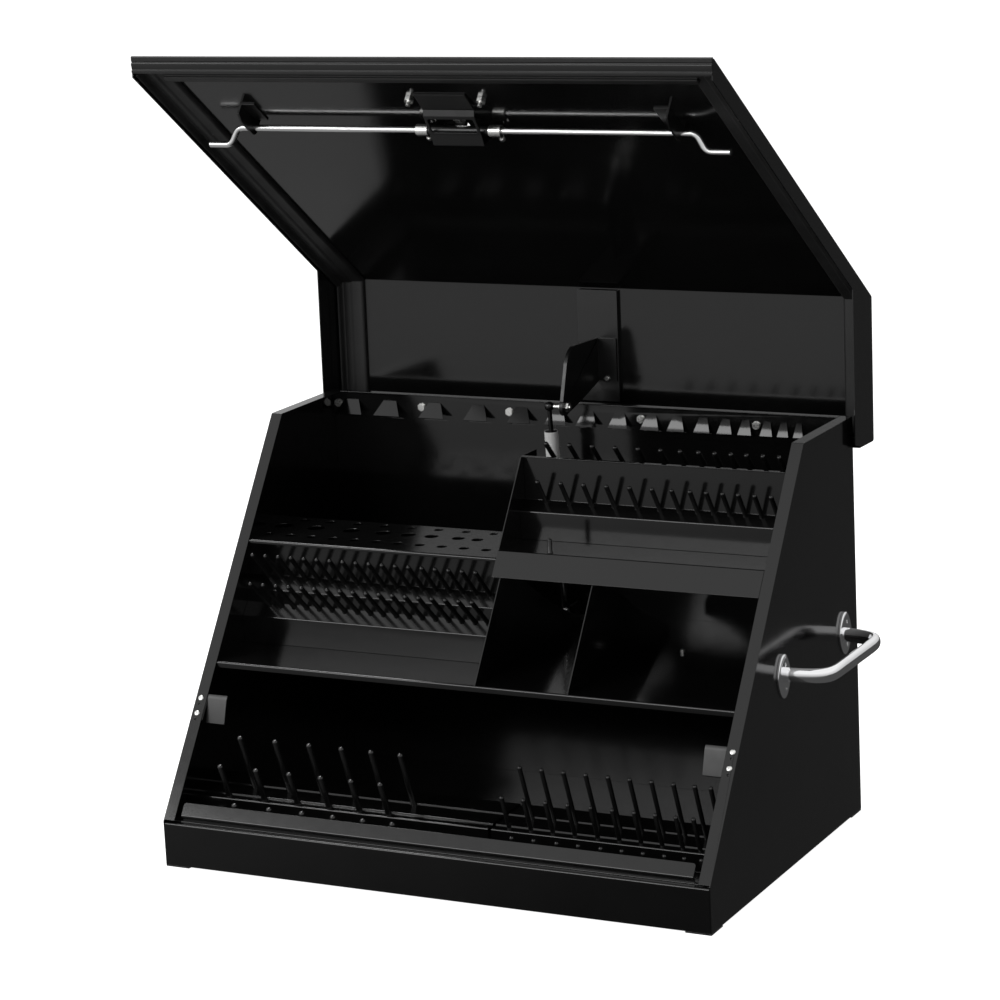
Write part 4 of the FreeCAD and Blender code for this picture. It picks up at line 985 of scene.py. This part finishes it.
class TOOLBOX_OT_lever(bpy.types.Operator):
    """Rounds the lever with its grip, and the lock"""
    bl_idname = "toolbox.lever"
    bl_label = "Lever and Lock"

    def execute(self, context):
        sizes = context.scene.toolbox_sizes
        for node in ("latch_lever", "key_lock", "key_plug"):
            soften(node, sizes.fine_round, 2, 40)
        return {"FINISHED"}


# Stage

class TOOLBOX_OT_stage(bpy.types.Operator):
    """Adds the floor, the soft light and the camera"""
    bl_idname = "toolbox.stage"
    bl_label = "Stage"

    CAMERA_AT = Vector((1.9054, -3.6928, 1.4065))
    TURN = math.radians(27.319)
    TILT = math.radians(12.952)
    ROLL = math.radians(-2.708)
    # Brightness at both ends of a range of places: the painted light that glossy rays see on the
    # floor, and the sky
    FLOOR_AHEAD = (0.46, 0.07, -3.0, -0.5)
    FLOOR_LEFT = (0.22, 0.0, -0.8, 0.2)
    SKY_HEIGHT = (0.55, 1.0, 0.0, 0.5)
    FLOOR_SEEN = 0.95

    def execute(self, context):
        stage = context.scene.toolbox_stage
        self.floor(stage)
        self.lamps(stage)
        self.world(context.scene, stage)
        self.camera(context.scene, stage)
        context.scene.view_settings.view_transform = "Standard"
        return {"FINISHED"}

    def floor(self, stage):
        clear()
        bpy.ops.mesh.primitive_circle_add(vertices=96, radius=40, fill_type="NGON")
        ground = bpy.context.object
        ground.name = "studio_floor"
        made, tree, shader, place = blank("studio_floor")
        shader.inputs["Base Color"].default_value = (*stage.floor_colour, 1)
        shader.inputs["Roughness"].default_value = 0.9
        shader.inputs["Specular IOR Level"].default_value = 0.0
        rays = tree.nodes.new("ShaderNodeLightPath")
        glow = tree.nodes.new("ShaderNodeEmission")
        strength = tree.nodes.new("ShaderNodeMath")
        strength.operation = "MULTIPLY"
        strength.inputs[1].default_value = self.FLOOR_SEEN
        tree.links.new(rays.outputs["Is Camera Ray"], strength.inputs[0])
        tree.links.new(strength.outputs[0], glow.inputs["Strength"])
        both = tree.nodes.new("ShaderNodeAddShader")
        tree.links.new(shader.outputs[0], both.inputs[0])
        tree.links.new(glow.outputs[0], both.inputs[1])
        # Glossy rays see a painted glow on the floor in place of its lighting: brighter far ahead
        # and to the left, dim close to the box as a painted shadow.
        painted_glow = self.painted_floor_glow(tree, place)
        pick = tree.nodes.new("ShaderNodeMixShader")
        tree.links.new(rays.outputs["Is Glossy Ray"], pick.inputs[0])
        tree.links.new(both.outputs[0], pick.inputs[1])
        tree.links.new(painted_glow, pick.inputs[2])
        tree.links.new(pick.outputs[0], tree.nodes["Material Output"].inputs["Surface"])
        ground.data.materials.append(made)

    def painted_floor_glow(self, tree, place):
        """Painted light on the floor, seen only in reflections: an emission brighter far ahead and
        to the left, dim close to the box.
        """
        parts = tree.nodes.new("ShaderNodeSeparateXYZ")
        tree.links.new(place, parts.inputs[0])
        ahead = between(tree, parts.outputs["Y"], *self.FLOOR_AHEAD)
        left = between(tree, parts.outputs["X"], *self.FLOOR_LEFT)
        total = tree.nodes.new("ShaderNodeMath")
        tree.links.new(ahead, total.inputs[0])
        tree.links.new(left, total.inputs[1])
        glow = tree.nodes.new("ShaderNodeEmission")
        tree.links.new(total.outputs[0], glow.inputs["Strength"])
        return glow.outputs[0]

    def lamps(self, stage):
        self.lamp("key_lamp", 1.5, 1.1, stage.key_power, (-1.5, 0.9, 3.4), (-3.0, 1.8, 6.8))
        self.lamp("edge_lamp", 2.0, 1.2, stage.edge_power, (-1.56, -2.82, 1.75),
                  (-3.12, -5.64, 3.1))

    def lamp(self, name, wide, high, power, at, away):
        """Soft lamp whose back is turned to a point, so that it shines the other way."""
        lamp = bpy.data.lights.new(name, "AREA")
        lamp.shape = "RECTANGLE"
        lamp.size = wide
        lamp.size_y = high
        lamp.energy = power
        soft = bpy.data.objects.new(name, lamp)
        bpy.context.scene.collection.objects.link(soft)
        soft.matrix_world = aim(at, away)

    def world(self, scene, stage):
        world = bpy.data.worlds.new("studio")
        world.use_nodes = True
        scene.world = world
        tree = world.node_tree
        back = tree.nodes["Background"]
        rays = tree.nodes.new("ShaderNodeLightPath")
        place = tree.nodes.new("ShaderNodeTexCoord")
        parts = tree.nodes.new("ShaderNodeSeparateXYZ")
        tree.links.new(place.outputs["Generated"], parts.inputs[0])
        height = between(tree, parts.outputs["Z"], *self.SKY_HEIGHT)
        seen = tree.nodes.new("ShaderNodeMath")
        seen.operation = "ADD"
        seen.use_clamp = True
        tree.links.new(rays.outputs["Is Glossy Ray"], seen.inputs[0])
        tree.links.new(rays.outputs["Is Transmission Ray"], seen.inputs[1])
        strength = tree.nodes.new("ShaderNodeMix")
        strength.inputs["A"].default_value = stage.sky
        tree.links.new(seen.outputs[0], strength.inputs["Factor"])
        tree.links.new(height, strength.inputs["B"])
        camera = tree.nodes.new("ShaderNodeMix")
        camera.inputs["B"].default_value = 1.0
        tree.links.new(rays.outputs["Is Camera Ray"], camera.inputs["Factor"])
        tree.links.new(strength.outputs["Result"], camera.inputs["A"])
        tree.links.new(camera.outputs["Result"], back.inputs["Strength"])
        back.inputs["Color"].default_value = (1, 1, 1, 1)

    def camera(self, scene, stage):
        a, e, r = self.TURN, self.TILT, self.ROLL
        ahead = Vector((-math.sin(a) * math.cos(e), math.cos(a) * math.cos(e), -math.sin(e)))
        right = Vector((math.cos(a), math.sin(a), 0))
        down = ahead.cross(right)
        rolled_right = right * math.cos(r) - down * math.sin(r)
        rolled_down = right * math.sin(r) + down * math.cos(r)
        lens = bpy.data.cameras.new("photo_camera")
        lens.lens = stage.focal
        lens.sensor_width = 36
        lens.sensor_height = 36
        lens.sensor_fit = "HORIZONTAL"
        view = bpy.data.objects.new("photo_camera", lens)
        scene.collection.objects.link(view)
        turn = Matrix((rolled_right, -rolled_down, -ahead)).transposed()
        view.matrix_world = Matrix.Translation(self.CAMERA_AT) @ turn.to_4x4()
        scene.camera = view


STEPS = (TOOLBOX_OT_stage, TOOLBOX_OT_case, TOOLBOX_OT_hook_rail, TOOLBOX_OT_shelves,
         TOOLBOX_OT_racks, TOOLBOX_OT_wrench_pins, TOOLBOX_OT_socket_posts, TOOLBOX_OT_handles,
         TOOLBOX_OT_keepers, TOOLBOX_OT_hinge, TOOLBOX_OT_lid, TOOLBOX_OT_front_trim,
         TOOLBOX_OT_seals, TOOLBOX_OT_strut, TOOLBOX_OT_latch, TOOLBOX_OT_lever)


# Panel and registration

class TOOLBOX_PT_panel(bpy.types.Panel):
    bl_label = "Toolbox"
    bl_idname = "TOOLBOX_PT_panel"
    bl_space_type = "VIEW_3D"
    bl_region_type = "UI"
    bl_category = "Toolbox"

    def draw(self, context):
        for group in (context.scene.toolbox_sizes, context.scene.toolbox_looks,
                      context.scene.toolbox_stage):
            column = self.layout.column()
            for key in group.__annotations__:
                column.prop(group, key)
        column = self.layout.column()
        for step in STEPS:
            column.operator(step.bl_idname)


CLASSES = (ToolboxSizes, ToolboxLooks, ToolboxStage) + STEPS + (TOOLBOX_PT_panel,)


def register():
    for cls in CLASSES:
        bpy.utils.register_class(cls)
    bpy.types.Scene.toolbox_sizes = bpy.props.PointerProperty(type=ToolboxSizes)
    bpy.types.Scene.toolbox_looks = bpy.props.PointerProperty(type=ToolboxLooks)
    bpy.types.Scene.toolbox_stage = bpy.props.PointerProperty(type=ToolboxStage)


def unregister():
    del bpy.types.Scene.toolbox_sizes
    del bpy.types.Scene.toolbox_looks
    del bpy.types.Scene.toolbox_stage
    for cls in reversed(CLASSES):
        bpy.utils.unregister_class(cls)


def main():
    register()
    bpy.ops.toolbox.stage()
    bpy.ops.toolbox.case()
    bpy.ops.toolbox.hook_rail()
    bpy.ops.toolbox.shelves()
    bpy.ops.toolbox.racks()
    bpy.ops.toolbox.wrench_pins()
    bpy.ops.toolbox.socket_posts()
    bpy.ops.toolbox.handles()
    bpy.ops.toolbox.keepers()
    bpy.ops.toolbox.hinge()
    bpy.ops.toolbox.lid()
    bpy.ops.toolbox.front_trim()
    bpy.ops.toolbox.seals()
    bpy.ops.toolbox.strut()
    bpy.ops.toolbox.latch()
    bpy.ops.toolbox.lever()


if __name__ == "__main__":
    main()
